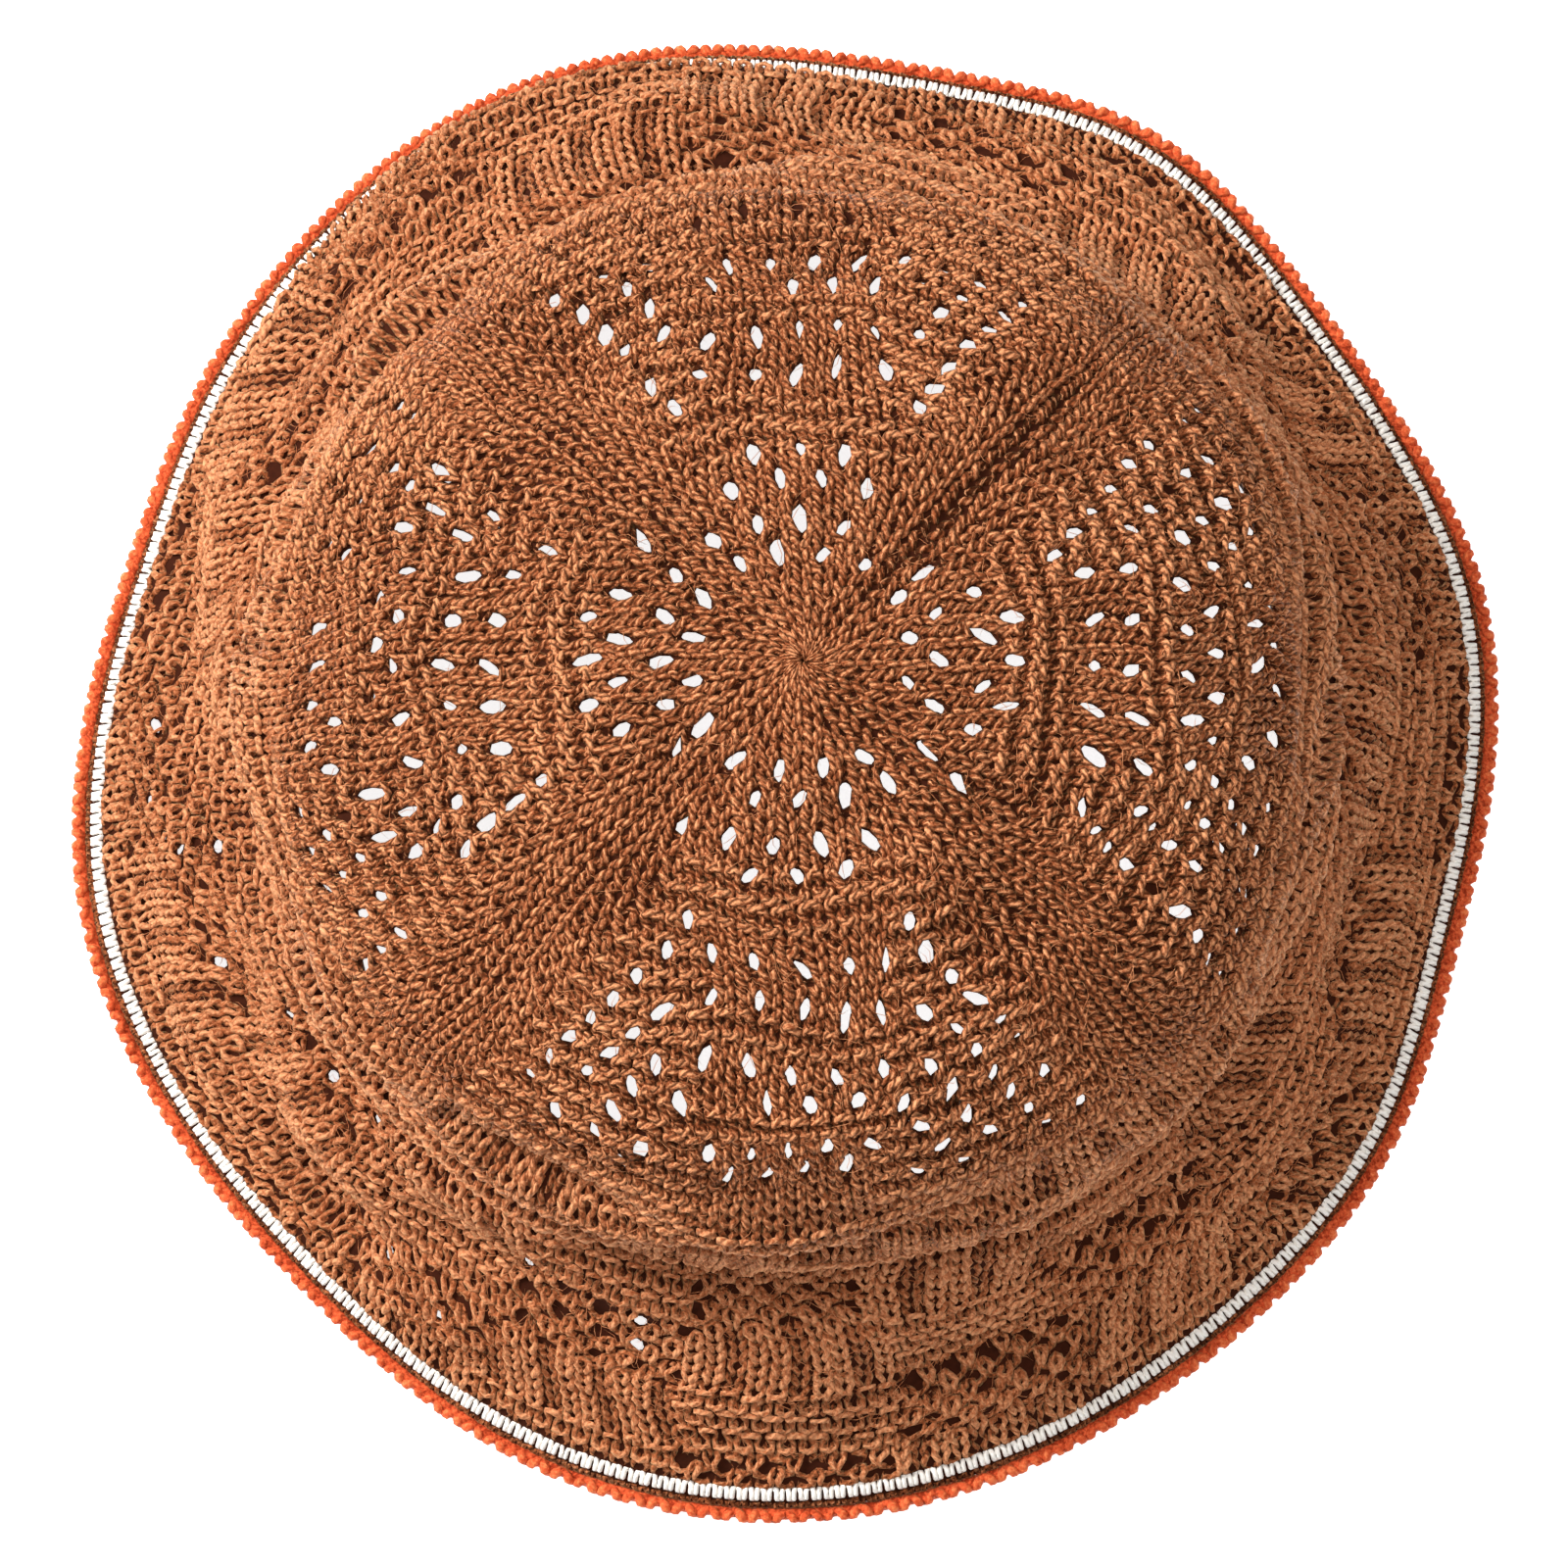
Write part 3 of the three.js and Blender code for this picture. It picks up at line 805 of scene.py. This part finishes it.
def opened(cloth, rounds, angle, eyelets, settings):
    """Places pushed aside by eyelets, and how near each lies to one (1 at its rim)."""
    near = np.full(angle.shape, NO_EYELET)
    shift_rounds, shift_angle = np.zeros_like(angle), np.zeros_like(angle)
    for eyelet in eyelets:
        across, along, half_wide, half_tall = eyelet_frame(cloth, rounds, angle, eyelet, settings)
        far = np.maximum(np.hypot(across, along), EYELET_CORE)
        grow = np.where(far < EYELET_PUSH, (1 + (1 - 1 / EYELET_PUSH) * far) / far - 1, 0.0)
        shift_angle += (across + eyelet[4] * along) * grow * half_wide
        shift_rounds += along * grow * half_tall
        near = np.minimum(near, far)
    return rounds + shift_rounds, angle + shift_angle, near


def loop_lines(cloth, knit_round, points, chart, eyelets, settings):
    """The loops of one round: rounds, angles, lift, unevenness, thickness, and nearness to an eyelet."""
    count = stitches_in_quarter(knit_round)
    t = np.arange(points) / points
    stitch = np.arange(QUARTERS * count)
    quarter = stitch // count
    middle = stitch - quarter * count - count / 2 + 0.5
    face, relief = chart(knit_round, quarter, middle, count)
    rng = np.random.default_rng((settings.seed, knit_round))
    uneven = rng.normal(0, 1 + WORN_UNEVEN * wear_and_light_of(knit_round), (4, len(stitch)))
    uneven = uneven[..., None] * np.sin(math.pi * t) ** 2
    rough = 1 + rng.normal(0, ROUGH + WORN_ROUGH * wear_and_light_of(knit_round), (len(stitch), points))
    before = 0.5 * np.clip(1 - t / JOIN, 0, 1)
    after = 0.5 * np.clip(1 - (1 - t) / JOIN, 0, 1)

    def blended(values):
        joined = np.roll(values, 1)[:, None] * before + np.roll(values, -1)[:, None] * after
        return values[:, None] * (1 - before - after) + joined

    place = middle[:, None] - 0.5 + t + settings.lean * np.sin(2 * TURN * t) + STRAY_ASIDE * uneven[0]
    ahead = settings.rise * np.cos(TURN * t) + STRAY_AHEAD * uneven[1]
    in_and_out = blended(face) * settings.depth * np.cos(2 * TURN * t)
    lift = blended(relief) - in_and_out + STRAY_LIFT * uneven[2]
    angle = stitch_angle(quarter[:, None], place, knit_round, ahead)
    close_by = eyelets[np.abs(eyelets[:, 1] - knit_round) < EYELET_NEAR]
    rounds, angle, near = opened(cloth, knit_round + ahead, angle, close_by, settings)
    return rounds, angle, lift, uneven[3], rough, near


def uncrossed(cloth, bands, chart, eyelets, settings):
    """Which eyelets no yarn crosses once it has been pushed aside."""
    crossed = np.zeros(len(eyelets), dtype=bool)
    for _, first, last, points, _ in bands:
        for knit_round in range(first, last + 1):
            lines = loop_lines(cloth, knit_round, points, chart, eyelets, settings)
            rounds, angle = ((line.ravel() + np.roll(line.ravel(), -1)) / 2 for line in lines[:2])
            for k in np.flatnonzero(np.abs(eyelets[:, 1] - knit_round) < EYELET_NEAR):
                across, along, _, _ = eyelet_frame(cloth, rounds, angle, eyelets[k], settings)
                crossed[k] |= np.hypot(across, along).min() < EYELET_CLEAR
    return ~crossed


def lay_round(skein, cloth, knit_round, points, sides, chart, eyelets, settings):
    """One round of loops, laid on the cloth as a closed tube of yarn."""
    on_crown = knit_round <= CROWN_ROUNDS
    lines = loop_lines(cloth, knit_round, points, chart, eyelets, settings)
    rounds, angle, lift, uneven, rough, near = lines
    at, angle = laid(cloth, rounds, angle, on_crown)
    shaded = 0.0
    if on_crown:
        jagged = sum(height * np.sin(rate * at + start) for height, rate, start in SEAM_WANDER)
        on_seam = np.exp(-((((angle - SEAM_ANGLE) * at * cloth.row + jagged) / SEAM_WIDTH) ** 2))
        on_seam = on_seam * ramp(at, *SEAM_SETS_IN) * (1 - ramp(at, *SEAM_FADES))
        lift = lift - SEAM_DEPTH * on_seam
        # Painted shade along the sunk seam
        shaded = SEAM_SHADE * on_seam
    line, outward = cloth.place(np.maximum(at, FIRST_PLACE), angle, lift - settings.wall / 2)
    thin = min(1.0, cloth.reach(knit_round) * TURN / len(rounds) / FULL_STITCH)
    thin = thin * (1 - WORN_THIN * wear_and_light_of(knit_round))
    at_rim = 1 - RIM_THIN + RIM_THIN * ramp(near, *RIM_FADES)
    radius = settings.yarn * thin * at_rim * (1 + STRAY_THICK * uneven) * rough
    # Painted light and shade: raised parts of a loop lighter, sunk parts darker
    tone = np.clip(TONE + LIGHT_AND_SHADE_BY_LIFT * lift / settings.depth + STRAY_TONE * uneven - shaded, 0, 1)
    skein.add(line.reshape(-1, 3), outward.reshape(-1, 3), radius.reshape(-1), tone.reshape(-1), sides)


def lay_fibres(cloth, spec, settings, rng):
    """Stray fibres that arch over the loops, each a thin spindle that starts and ends in the knit."""
    name, first, last, count = spec
    bands = np.arange(first, last, FIBRE_BAND)
    share = cloth.reach(bands) / cloth.reach(bands).sum()
    rounds = rng.choice(bands, count, p=share) + rng.uniform(0, FIBRE_BAND, count)
    angle = rng.uniform(0, TURN, count)
    heading, bend = rng.uniform(0, TURN, count), rng.normal(0, FIBRE_BEND, count)
    length = rng.uniform(*FIBRE_LENGTHS, count)[:, None]
    t = np.linspace(-0.5, 0.5, len(FIBRE_LIFTS))
    turned = heading[:, None] + bend[:, None] * np.abs(t)
    rounds = rounds[:, None] + length * t * np.cos(turned) / cloth.row
    angle = angle[:, None] + length * t * np.sin(turned) / cloth.reach(rounds)
    lift = np.array(FIBRE_LIFTS) + rng.normal(0, FIBRE_STRAY, (count, len(t)))
    path, outward = cloth.place(np.clip(rounds, first - 1, last + 1), angle, lift)
    turn = np.arange(FIBRE_SIDES) * TURN / FIBRE_SIDES
    ring = FIBRE_RADIUS * rings(direction(path[:, 2] - path[:, 1]), outward[:, 1], turn)
    near, far = path[:, 1, None] + ring, path[:, 2, None] + ring
    vertices = np.concatenate([path[:, :1], near, far, path[:, 3:]], axis=1)
    corners = vertices.shape[1]
    faces = []
    for k in range(FIBRE_SIDES):
        a, b = 1 + k, 1 + (k + 1) % FIBRE_SIDES
        c, d = a + FIBRE_SIDES, b + FIBRE_SIDES
        faces += [(0, b, a), (a, b, d), (a, d, c), (c, d, corners - 1)]
    faces = (np.array(faces) + corners * np.arange(count)[:, None, None]).reshape(-1, 3)
    uvs, tones = np.zeros((faces.size, 2)), np.full(corners * count, FIBRE_TONE)
    material = brown_material(settings, 1.0)
    return add_mesh(name, vertices.reshape(-1, 3), faces, material, uvs=uvs, tones=tones)


class Shading:
    """The nodes of a material or a group, and means to add to them."""

    def __init__(self, tree):
        self.nodes, self.links = tree.nodes, tree.links

    def give(self, node, inputs):
        """Sets inputs of a node, or links outputs of other nodes to them."""
        for name, value in inputs.items():
            if isinstance(value, bpy.types.NodeSocket):
                self.links.new(value, node.inputs[name])
            else:
                node.inputs[name].default_value = value
        return node

    def add(self, kind, inputs=(), output=0, **settings):
        """An output of a new node with some settings and some inputs."""
        node = self.nodes.new(kind)
        for name, value in settings.items():
            setattr(node, name, value)
        return self.give(node, dict(inputs)).outputs[output]

    def calculate(self, operation, first, second=0.0):
        """A calculation with one or two values."""
        return self.add("ShaderNodeMath", enumerate((first, second)), operation=operation)

    def plus(self, first, second):
        """Two values added."""
        return self.calculate("ADD", first, second)

    def times(self, first, second):
        """Two values multiplied."""
        return self.calculate("MULTIPLY", first, second)

    def mix(self, factor, first, second):
        """A mix of two colours, through the sockets that the node keeps for colours."""
        return self.add("ShaderNodeMix", {"Factor": factor, 6: first, 7: second}, 2, data_type="RGBA")

    def remap(self, value, low, high, to_low=0.0, to_high=1.0):
        """A value brought smoothly from one range to another."""
        limits = enumerate((value, low, high, to_low, to_high))
        return self.add("ShaderNodeMapRange", limits, interpolation_type="SMOOTHSTEP")

    def noise(self, where, scale, detail, roughness):
        """Noise at some place."""
        inputs = {"Vector": where, "Scale": scale, "Detail": detail, "Roughness": roughness}
        return self.add("ShaderNodeTexNoise", inputs)

    def place(self):
        """The place on the hat."""
        return self.add("ShaderNodeTexCoord", output="Object")


def plied_yarn_group():
    """The look of plied yarn: twisted plies, fine strands, tone from shade to light, a painted highlight
    on each ply's crest and painted shade in its grooves.
    """
    group = bpy.data.node_groups.get("plied_yarn")
    if group:
        return group
    group = bpy.data.node_groups.new("plied_yarn", "ShaderNodeTree")
    for side, kind, names in (
        ("INPUT", "NodeSocketColor", ("Shade", "Body", "Light")),
        ("INPUT", "NodeSocketFloat", ("Turns", "Crisp")),
        ("OUTPUT", "NodeSocketColor", ("Color",)),
        ("OUTPUT", "NodeSocketFloat", ("Roughness", "Height")),
    ):
        for name in names:
            group.interface.new_socket(name, in_out=side, socket_type=kind)
    look = Shading(group)
    plus, times = look.plus, look.times
    given, end = look.nodes.new("NodeGroupInput").outputs, look.nodes.new("NodeGroupOutput")
    shade, light, crisp = given["Shade"], given["Light"], given["Crisp"]
    uv = look.add("ShaderNodeUVMap", output="UV", uv_map="yarn")
    tone = look.add("ShaderNodeAttribute", output="Fac", attribute_name="tone")
    yarn = look.give(look.nodes.new("ShaderNodeSeparateXYZ"), {"Vector": uv}).outputs
    along, around = yarn["X"], yarn["Y"]
    phase = times(plus(times(along, given["Turns"]), times(around, PLIES)), TURN)
    ply = plus(times(look.calculate("COSINE", phase), 0.5), 0.5)
    twisted = {"X": times(phase, STRAND_ROUND), "Y": times(along, STRAND_ALONG)}
    strand = look.noise(look.add("ShaderNodeCombineXYZ", twisted), *STRAND_NOISE)
    where = look.place()
    fleck, patch = look.noise(where, *FLECK_NOISE), look.noise(where, *PATCH_NOISE)
    grain, hairs, drift = (
        times(look.calculate("SUBTRACT", noise, 0.5), amount)
        for noise, amount in ((fleck, FLECK_TONE), (strand, STRAND_TONE), (patch, PATCH_TONE))
    )
    level = plus(plus(tone, grain), plus(drift, hairs))
    dark = look.mix(look.remap(level, *SHADE_TO_BODY), shade, given["Body"])
    # Painted light: high tones, from raised parts and from bright strands, turn to the light colour
    raised = look.remap(plus(level, times(strand, STRAND_LIGHT)), *BODY_TO_LIGHT)
    lit = look.mix(raised, dark, light)
    # Painted highlight on the crests of the plies, and painted shade in the grooves between them
    crest_highlight = times(look.remap(ply, *CREST_HIGHLIGHT_PLY), look.remap(strand, *CREST_HIGHLIGHT_STRAND))
    shone = look.mix(times(crest_highlight, crisp), lit, light)
    groove_shade = times(look.remap(ply, *GROOVE_SHADE_PLY), crisp)
    fuzz = plus(times(strand, STRAND_HEIGHT), times(fleck, FLECK_HEIGHT))
    made = {
        "Color": look.mix(groove_shade, shone, shade),
        "Roughness": look.remap(strand, *STRAND_GLOSS),
        "Height": plus(times(ply, PLY_HEIGHT), fuzz),
    }
    look.give(end, made)
    return group


def new_material(name):
    """A new material, its shader and its nodes."""
    material = bpy.data.materials.new(name)
    material.use_nodes = True
    return material, material.node_tree.nodes["Principled BSDF"], Shading(material.node_tree)


def yarn_material(name, shade, body, light, turns, crisp, sheen):
    """Plied yarn of one colour."""
    material = bpy.data.materials.get(name)
    if material:
        return material
    material, shader, look = new_material(name)
    yarn = look.nodes.new("ShaderNodeGroup")
    yarn.node_tree = plied_yarn_group()
    colours = {"Shade": (*shade, 1), "Body": (*body, 1), "Light": (*light, 1)}
    made = look.give(yarn, {**colours, "Turns": turns, "Crisp": crisp}).outputs
    bumps = {"Strength": BUMP + CRISP_BUMP * crisp, "Distance": BUMP_DEPTH, "Height": made["Height"]}
    fuzz = [c + paler * (1 - c) for paler, c in zip(FUZZ_PALER, light)]
    inputs = {
        "Base Color": made["Color"],
        "Roughness": made["Roughness"],
        "Normal": look.add("ShaderNodeBump", bumps),
        "Sheen Weight": sheen,
        "Sheen Roughness": FUZZ_ROUGHNESS,
        "Sheen Tint": (*fuzz, 1),
        "Specular IOR Level": YARN_SHINE,
        "Specular Tint": (*light, 1),
    }
    look.give(shader, inputs)
    return material


def brown_material(settings, wear_and_light):
    """The brown yarn: crisp where it is new, softer where it is worn, and there painted paler as painted
    light.
    """
    name = f"brown_yarn_wear_and_light_{round(10 * wear_and_light)}"
    # Painted light: where the yarn is worn its shade, body and light colours are made paler
    shade = [(1 + PAINTED_PALER_SHADE * wear_and_light) * c for c in settings.shade]
    body = [(1 + paler * wear_and_light) * c for paler, c in zip(PAINTED_PALER_BODY, settings.body)]
    light = [(1 + paler * wear_and_light) * c for paler, c in zip(PAINTED_PALER_LIGHT, settings.light)]
    crisp, fuzz = BROWN_CRISP - WORN_CRISP * wear_and_light, BROWN_FUZZ + WORN_FUZZ * wear_and_light
    return yarn_material(name, shade, body, light, BROWN_TURNS, crisp, fuzz)


def shaded_material(settings):
    """A dark sheet of painted shade deep inside the knit, standing for the yarn there, which shows between
    the loops.
    """
    material = bpy.data.materials.get("painted_shade_sheet")
    if material:
        return material
    material, shader, look = new_material("painted_shade_sheet")
    deep, raised = ((*[share * c for c in settings.shade], 1) for share in LAYER_SHADES)
    colour = look.mix(look.noise(look.place(), *LAYER_NOISE), deep, raised)
    finish = {"Roughness": LAYER_ROUGHNESS, "Specular IOR Level": LAYER_SHINE}
    look.give(shader, {"Base Color": colour, **finish})
    return material


def lay_inner_layer(cloth, spec, settings):
    """A thin closed dark layer of painted shade under the loops."""
    name, around, first, last = spec
    down = np.linspace(first, last, int((last - first) / LAYER_STEP))
    at = np.concatenate([down, down[::-1]])
    lift = np.repeat([lift - settings.wall / 2 for lift in LAYER_LIFTS], len(down))
    rounds, angle = np.meshgrid(at, np.arange(around) * TURN / around, indexing="ij")
    points, _ = cloth.place(rounds, angle, lift[:, None])
    faces = grid_faces(len(at), around)[:, [0, 3, 2, 1]]  # the other way round, to look out of the layer
    return add_mesh(name, points.reshape(-1, 3), faces, shaded_material(settings))


def cut_eyelets(piece, cloth, eyelets, settings):
    """Cuts the eyelets through a layer."""
    turn = np.arange(PIN_SIDES) * TURN / PIN_SIDES
    vertices, faces = [], []
    for eyelet in eyelets:
        at_angle, at_round, _, _, slant = eyelet
        half_wide, half_tall = eyelet_halves(cloth, eyelet, PIN_WIDER, settings)
        around = at_angle + (np.cos(turn) + slant * np.sin(turn)) * half_wide
        rounds, angle = laid(cloth, at_round + np.sin(turn) * half_tall, around, at_round < CROWN_ROUNDS)
        top = range(len(vertices), len(vertices) + PIN_SIDES)
        for lift in PIN_LIFTS:
            vertices.extend(cloth.place(rounds, angle, np.full(PIN_SIDES, lift))[0].tolist())
        for k, beside in zip(top, (*top[1:], top[0])):
            faces.append((k, beside, beside + PIN_SIDES, k + PIN_SIDES))
        faces.append(tuple(reversed(top)))
        faces.append(tuple(k + PIN_SIDES for k in top))
    mesh = bpy.data.meshes.new("eyelet_pins")
    mesh.from_pydata(vertices, [], faces)
    pins = bpy.data.objects.new("eyelet_pins", mesh)
    bpy.context.collection.objects.link(pins)
    activate(pins)
    bpy.ops.object.mode_set(mode="EDIT")
    bpy.ops.mesh.select_all(action="SELECT")
    bpy.ops.mesh.normals_make_consistent(inside=False)
    bpy.ops.object.mode_set(mode="OBJECT")
    activate(piece)
    bpy.ops.object.modifier_add(type="BOOLEAN")
    cut = piece.modifiers[-1]
    cut.operation = "DIFFERENCE"
    cut.solver = "EXACT"
    cut.object = pins
    bpy.ops.object.modifier_apply(modifier=cut.name)
    bpy.data.objects.remove(pins)


def activate(piece):
    """Makes a piece the only selected one."""
    bpy.ops.object.select_all(action="DESELECT")
    piece.select_set(True)
    bpy.context.view_layer.objects.active = piece


def dress(piece, node):
    """Ties a piece to the hat's body, and hides the solid that it stands for."""
    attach(piece, "root")
    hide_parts(node)


def knit_part(node, bands, chart, layer, fibres, cloth, eyelets, through, settings, rng):
    """Knits one part of the hat: bands of rounds, the layer behind them and fibres over them."""
    for name, first, last, points, sides in bands:
        skein = Skein()
        for knit_round in range(first, last + 1):
            lay_round(skein, cloth, knit_round, points, sides, chart, eyelets, settings)
        material = brown_material(settings, wear_and_light_of((first + last) / 2))
        dress(skein.build(name, material), node)
    inner = lay_inner_layer(cloth, layer, settings)
    cut_eyelets(inner, cloth, eyelets[through], settings)
    dress(inner, node)
    dress(lay_fibres(cloth, fibres, settings, rng), node)


def lay_border(line, cloth, radius, material, context, rng):
    """One line of the border, loop by loop all round the hat."""
    name, loop, share, from_edge, half, sides, tone, light_and_shade_by_lift = line
    place, rise, lift = np.transpose(loop)
    loops = share * context.scene.hat_border.loops
    jitter = rng.normal(0, 1, (3, loops))
    stray_place, stray_rise, stray_thick, stray_tone = (
        amount * jitter[k][:, None] for amount, k in zip(BORDER_STRAY, (0, 1, 2, 2))
    )
    angle = (np.arange(loops)[:, None] + place + stray_place) * TURN / loops
    rounds = cloth.end - (from_edge + rise * half * (1 + stray_rise)) / cloth.row
    lifts = np.broadcast_to(lift, rounds.shape) - context.scene.hat_knit.wall / 2
    points, outward = (rows.reshape(-1, 3) for rows in cloth.place(rounds, angle, lifts))
    thick = np.broadcast_to(radius * (1 + stray_thick), rounds.shape).reshape(-1)
    points[:, 2] = np.maximum(points[:, 2], thick * FLOOR_REST)
    # Painted light and shade: raised parts of each strand lighter, sunk parts darker
    tones = np.clip(tone + light_and_shade_by_lift * lift + stray_tone, 0, 1)
    skein = Skein()
    skein.add(points, outward, thick, tones.reshape(-1), sides)
    return skein.build(name, material)


class HAT_OT_knit_crown(bpy.types.Operator):
    """Knit the crown: rounds of looped yarn with eyelets, over a dark inner layer of painted shade"""

    bl_idname = "hat.knit_crown"
    bl_label = "Knit crown"

    def execute(self, context):
        settings = context.scene.hat_knit
        cloth = Cloth(settings.seed)
        eyelets, through = crown_eyelets(np.random.default_rng(settings.seed))
        clear = uncrossed(cloth, CROWN_BANDS, crown_chart, eyelets, settings)
        rng = np.random.default_rng(settings.seed + 4)
        knit_part(
            "crown", CROWN_BANDS, crown_chart, CROWN_LAYER, CROWN_FIBRES,
            cloth, eyelets[clear], through[clear], settings, rng,
        )
        return {"FINISHED"}


class HAT_OT_knit_brim(bpy.types.Operator):
    """Knit the brim: blocks of rib, garter and lace, over a dark inner layer of painted shade"""

    bl_idname = "hat.knit_brim"
    bl_label = "Knit brim"

    def execute(self, context):
        settings = context.scene.hat_knit
        cloth = Cloth(settings.seed)
        rng = np.random.default_rng(settings.seed + 1)
        eyelets = brim_eyelets(rng)
        eyelets = eyelets[uncrossed(cloth, BRIM_BANDS, brim_chart, eyelets, settings)]
        middle, half = OPEN_SIDE
        through = (eyelets[:, 1] < OPEN_TO) & (np.abs(eyelets[:, 0] - middle) < half)
        through &= rng.random(len(eyelets)) < BRIM_OPEN
        layer = (*BRIM_LAYER, cloth.end - LAYER_SHORT)
        knit_part(
            "brim", BRIM_BANDS, brim_chart, layer, BRIM_FIBRES, cloth, eyelets, through, settings, rng
        )
        edge = lay_border(DARK_LINE, cloth, DARK_YARN, brown_material(settings, 1.0), context, rng)
        dress(edge, "brim")
        return {"FINISHED"}


class HAT_OT_sew_stripe(bpy.types.Operator):
    """Lay the pale stripe: pairs of short strokes all round the brim"""

    bl_idname = "hat.sew_stripe"
    bl_label = "Sew pale stripe"

    def execute(self, context):
        border, seed = context.scene.hat_border, context.scene.hat_knit.seed
        material = yarn_material("cream_stripe_yarn", border.cream_shade, border.cream, *PALE_LOOK)
        rng = np.random.default_rng(seed + 2)
        strokes = lay_border(PALE_LINE, Cloth(seed), border.stripe_yarn, material, context, rng)
        dress(strokes, "cream_stripe")
        return {"FINISHED"}


class HAT_OT_sew_edging(bpy.types.Operator):
    """Lay the orange edging: scalloped loops over a cord"""

    bl_idname = "hat.sew_edging"
    bl_label = "Sew orange edging"

    def execute(self, context):
        border, seed = context.scene.hat_border, context.scene.hat_knit.seed
        material = yarn_material("orange_edging_yarn", border.orange_shade, border.orange, *ORANGE_LOOK)
        rng = np.random.default_rng(seed + 3)
        cloth = Cloth(seed)
        for line, radius in ((ORANGE_LINE, border.edging_yarn), (CORD_LINE, CORD_YARN)):
            piece = lay_border(line, cloth, radius, material, context, rng)
            dress(piece, "orange_edging")
        return {"FINISHED"}


def floor_material(glow):
    """Pale floor that gives back some light of its own, so that it stays pale under the hat."""
    material, shader, look = new_material("pale_floor")
    light = {"Emission Color": WHITE, "Emission Strength": glow}
    look.give(shader, {"Base Color": FLOOR_COLOUR, "Roughness": FLOOR_ROUGHNESS, **light})
    return material


def add_lamp(name, power, size, at):
    """A square lamp that looks at the hat."""
    bpy.ops.object.light_add(type="AREA", location=at)
    lamp = bpy.context.object
    lamp.name = name
    lamp.data.energy = power
    lamp.data.size = size
    lamp.rotation_euler = (Vector(LAMP_AIM) - Vector(at)).to_track_quat("-Z", "Y").to_euler()


class HAT_OT_set_stage(bpy.types.Operator):
    """Set the pale floor, the soft light and the camera"""

    bl_idname = "hat.set_stage"
    bl_label = "Set stage"

    def execute(self, context):
        stage = context.scene.hat_stage
        bpy.ops.mesh.primitive_plane_add(size=stage.floor_size, location=(0, 0, 0))
        floor = context.object
        floor.name = "floor"
        floor.data.materials.append(floor_material(stage.floor_glow))
        add_lamp("key_lamp", stage.key_power, *KEY_LAMP)
        add_lamp("top_lamp", stage.top_power, *TOP_LAMP)
        world = bpy.data.worlds.new("soft_room")
        world.use_nodes = True
        background = world.node_tree.nodes["Background"]
        Shading(world.node_tree).give(background, {"Color": WHITE, "Strength": stage.sky})
        context.scene.world = world
        aim = Vector(stage.aim)
        away = Vector((0, -math.cos(stage.elevation), math.sin(stage.elevation)))
        bpy.ops.object.camera_add(location=aim + away * stage.distance)
        camera = context.object
        camera.name = "camera"
        camera.rotation_euler = (-away).to_track_quat("-Z", "Y").to_euler()
        camera.data.lens = stage.lens
        camera.data.sensor_width = SENSOR
        camera.data.clip_start = NEAREST
        context.scene.camera = camera
        context.scene.view_settings.view_transform = "Standard"
        return {"FINISHED"}


class HAT_PT_sidebar(bpy.types.Panel):
    """Steps of the hat and its settings"""

    bl_idname = "HAT_PT_sidebar"
    bl_label = "Knitted hat"
    bl_space_type = "VIEW_3D"
    bl_region_type = "UI"
    bl_category = "Hat"

    def draw(self, context):
        for step in STEPS:
            self.layout.operator(step.bl_idname)
        for group in ("hat_knit", "hat_border", "hat_stage"):
            settings = getattr(context.scene, group)
            box = self.layout.box()
            for name in settings.__annotations__:
                box.prop(settings, name)


STEPS = (HAT_OT_knit_crown, HAT_OT_knit_brim, HAT_OT_sew_stripe, HAT_OT_sew_edging, HAT_OT_set_stage)
CLASSES = (KnitSettings, BorderSettings, StageSettings, *STEPS, HAT_PT_sidebar)


def register():
    for item in CLASSES:
        bpy.utils.register_class(item)
    bpy.types.Scene.hat_knit = PointerProperty(type=KnitSettings)
    bpy.types.Scene.hat_border = PointerProperty(type=BorderSettings)
    bpy.types.Scene.hat_stage = PointerProperty(type=StageSettings)


def unregister():
    for name in ("hat_knit", "hat_border", "hat_stage"):
        delattr(bpy.types.Scene, name)
    for item in reversed(CLASSES):
        bpy.utils.unregister_class(item)


def main():
    register()
    bpy.ops.hat.knit_crown()
    bpy.ops.hat.knit_brim()
    bpy.ops.hat.sew_stripe()
    bpy.ops.hat.sew_edging()
    bpy.ops.hat.set_stage()


if __name__ == "__main__":
    main()
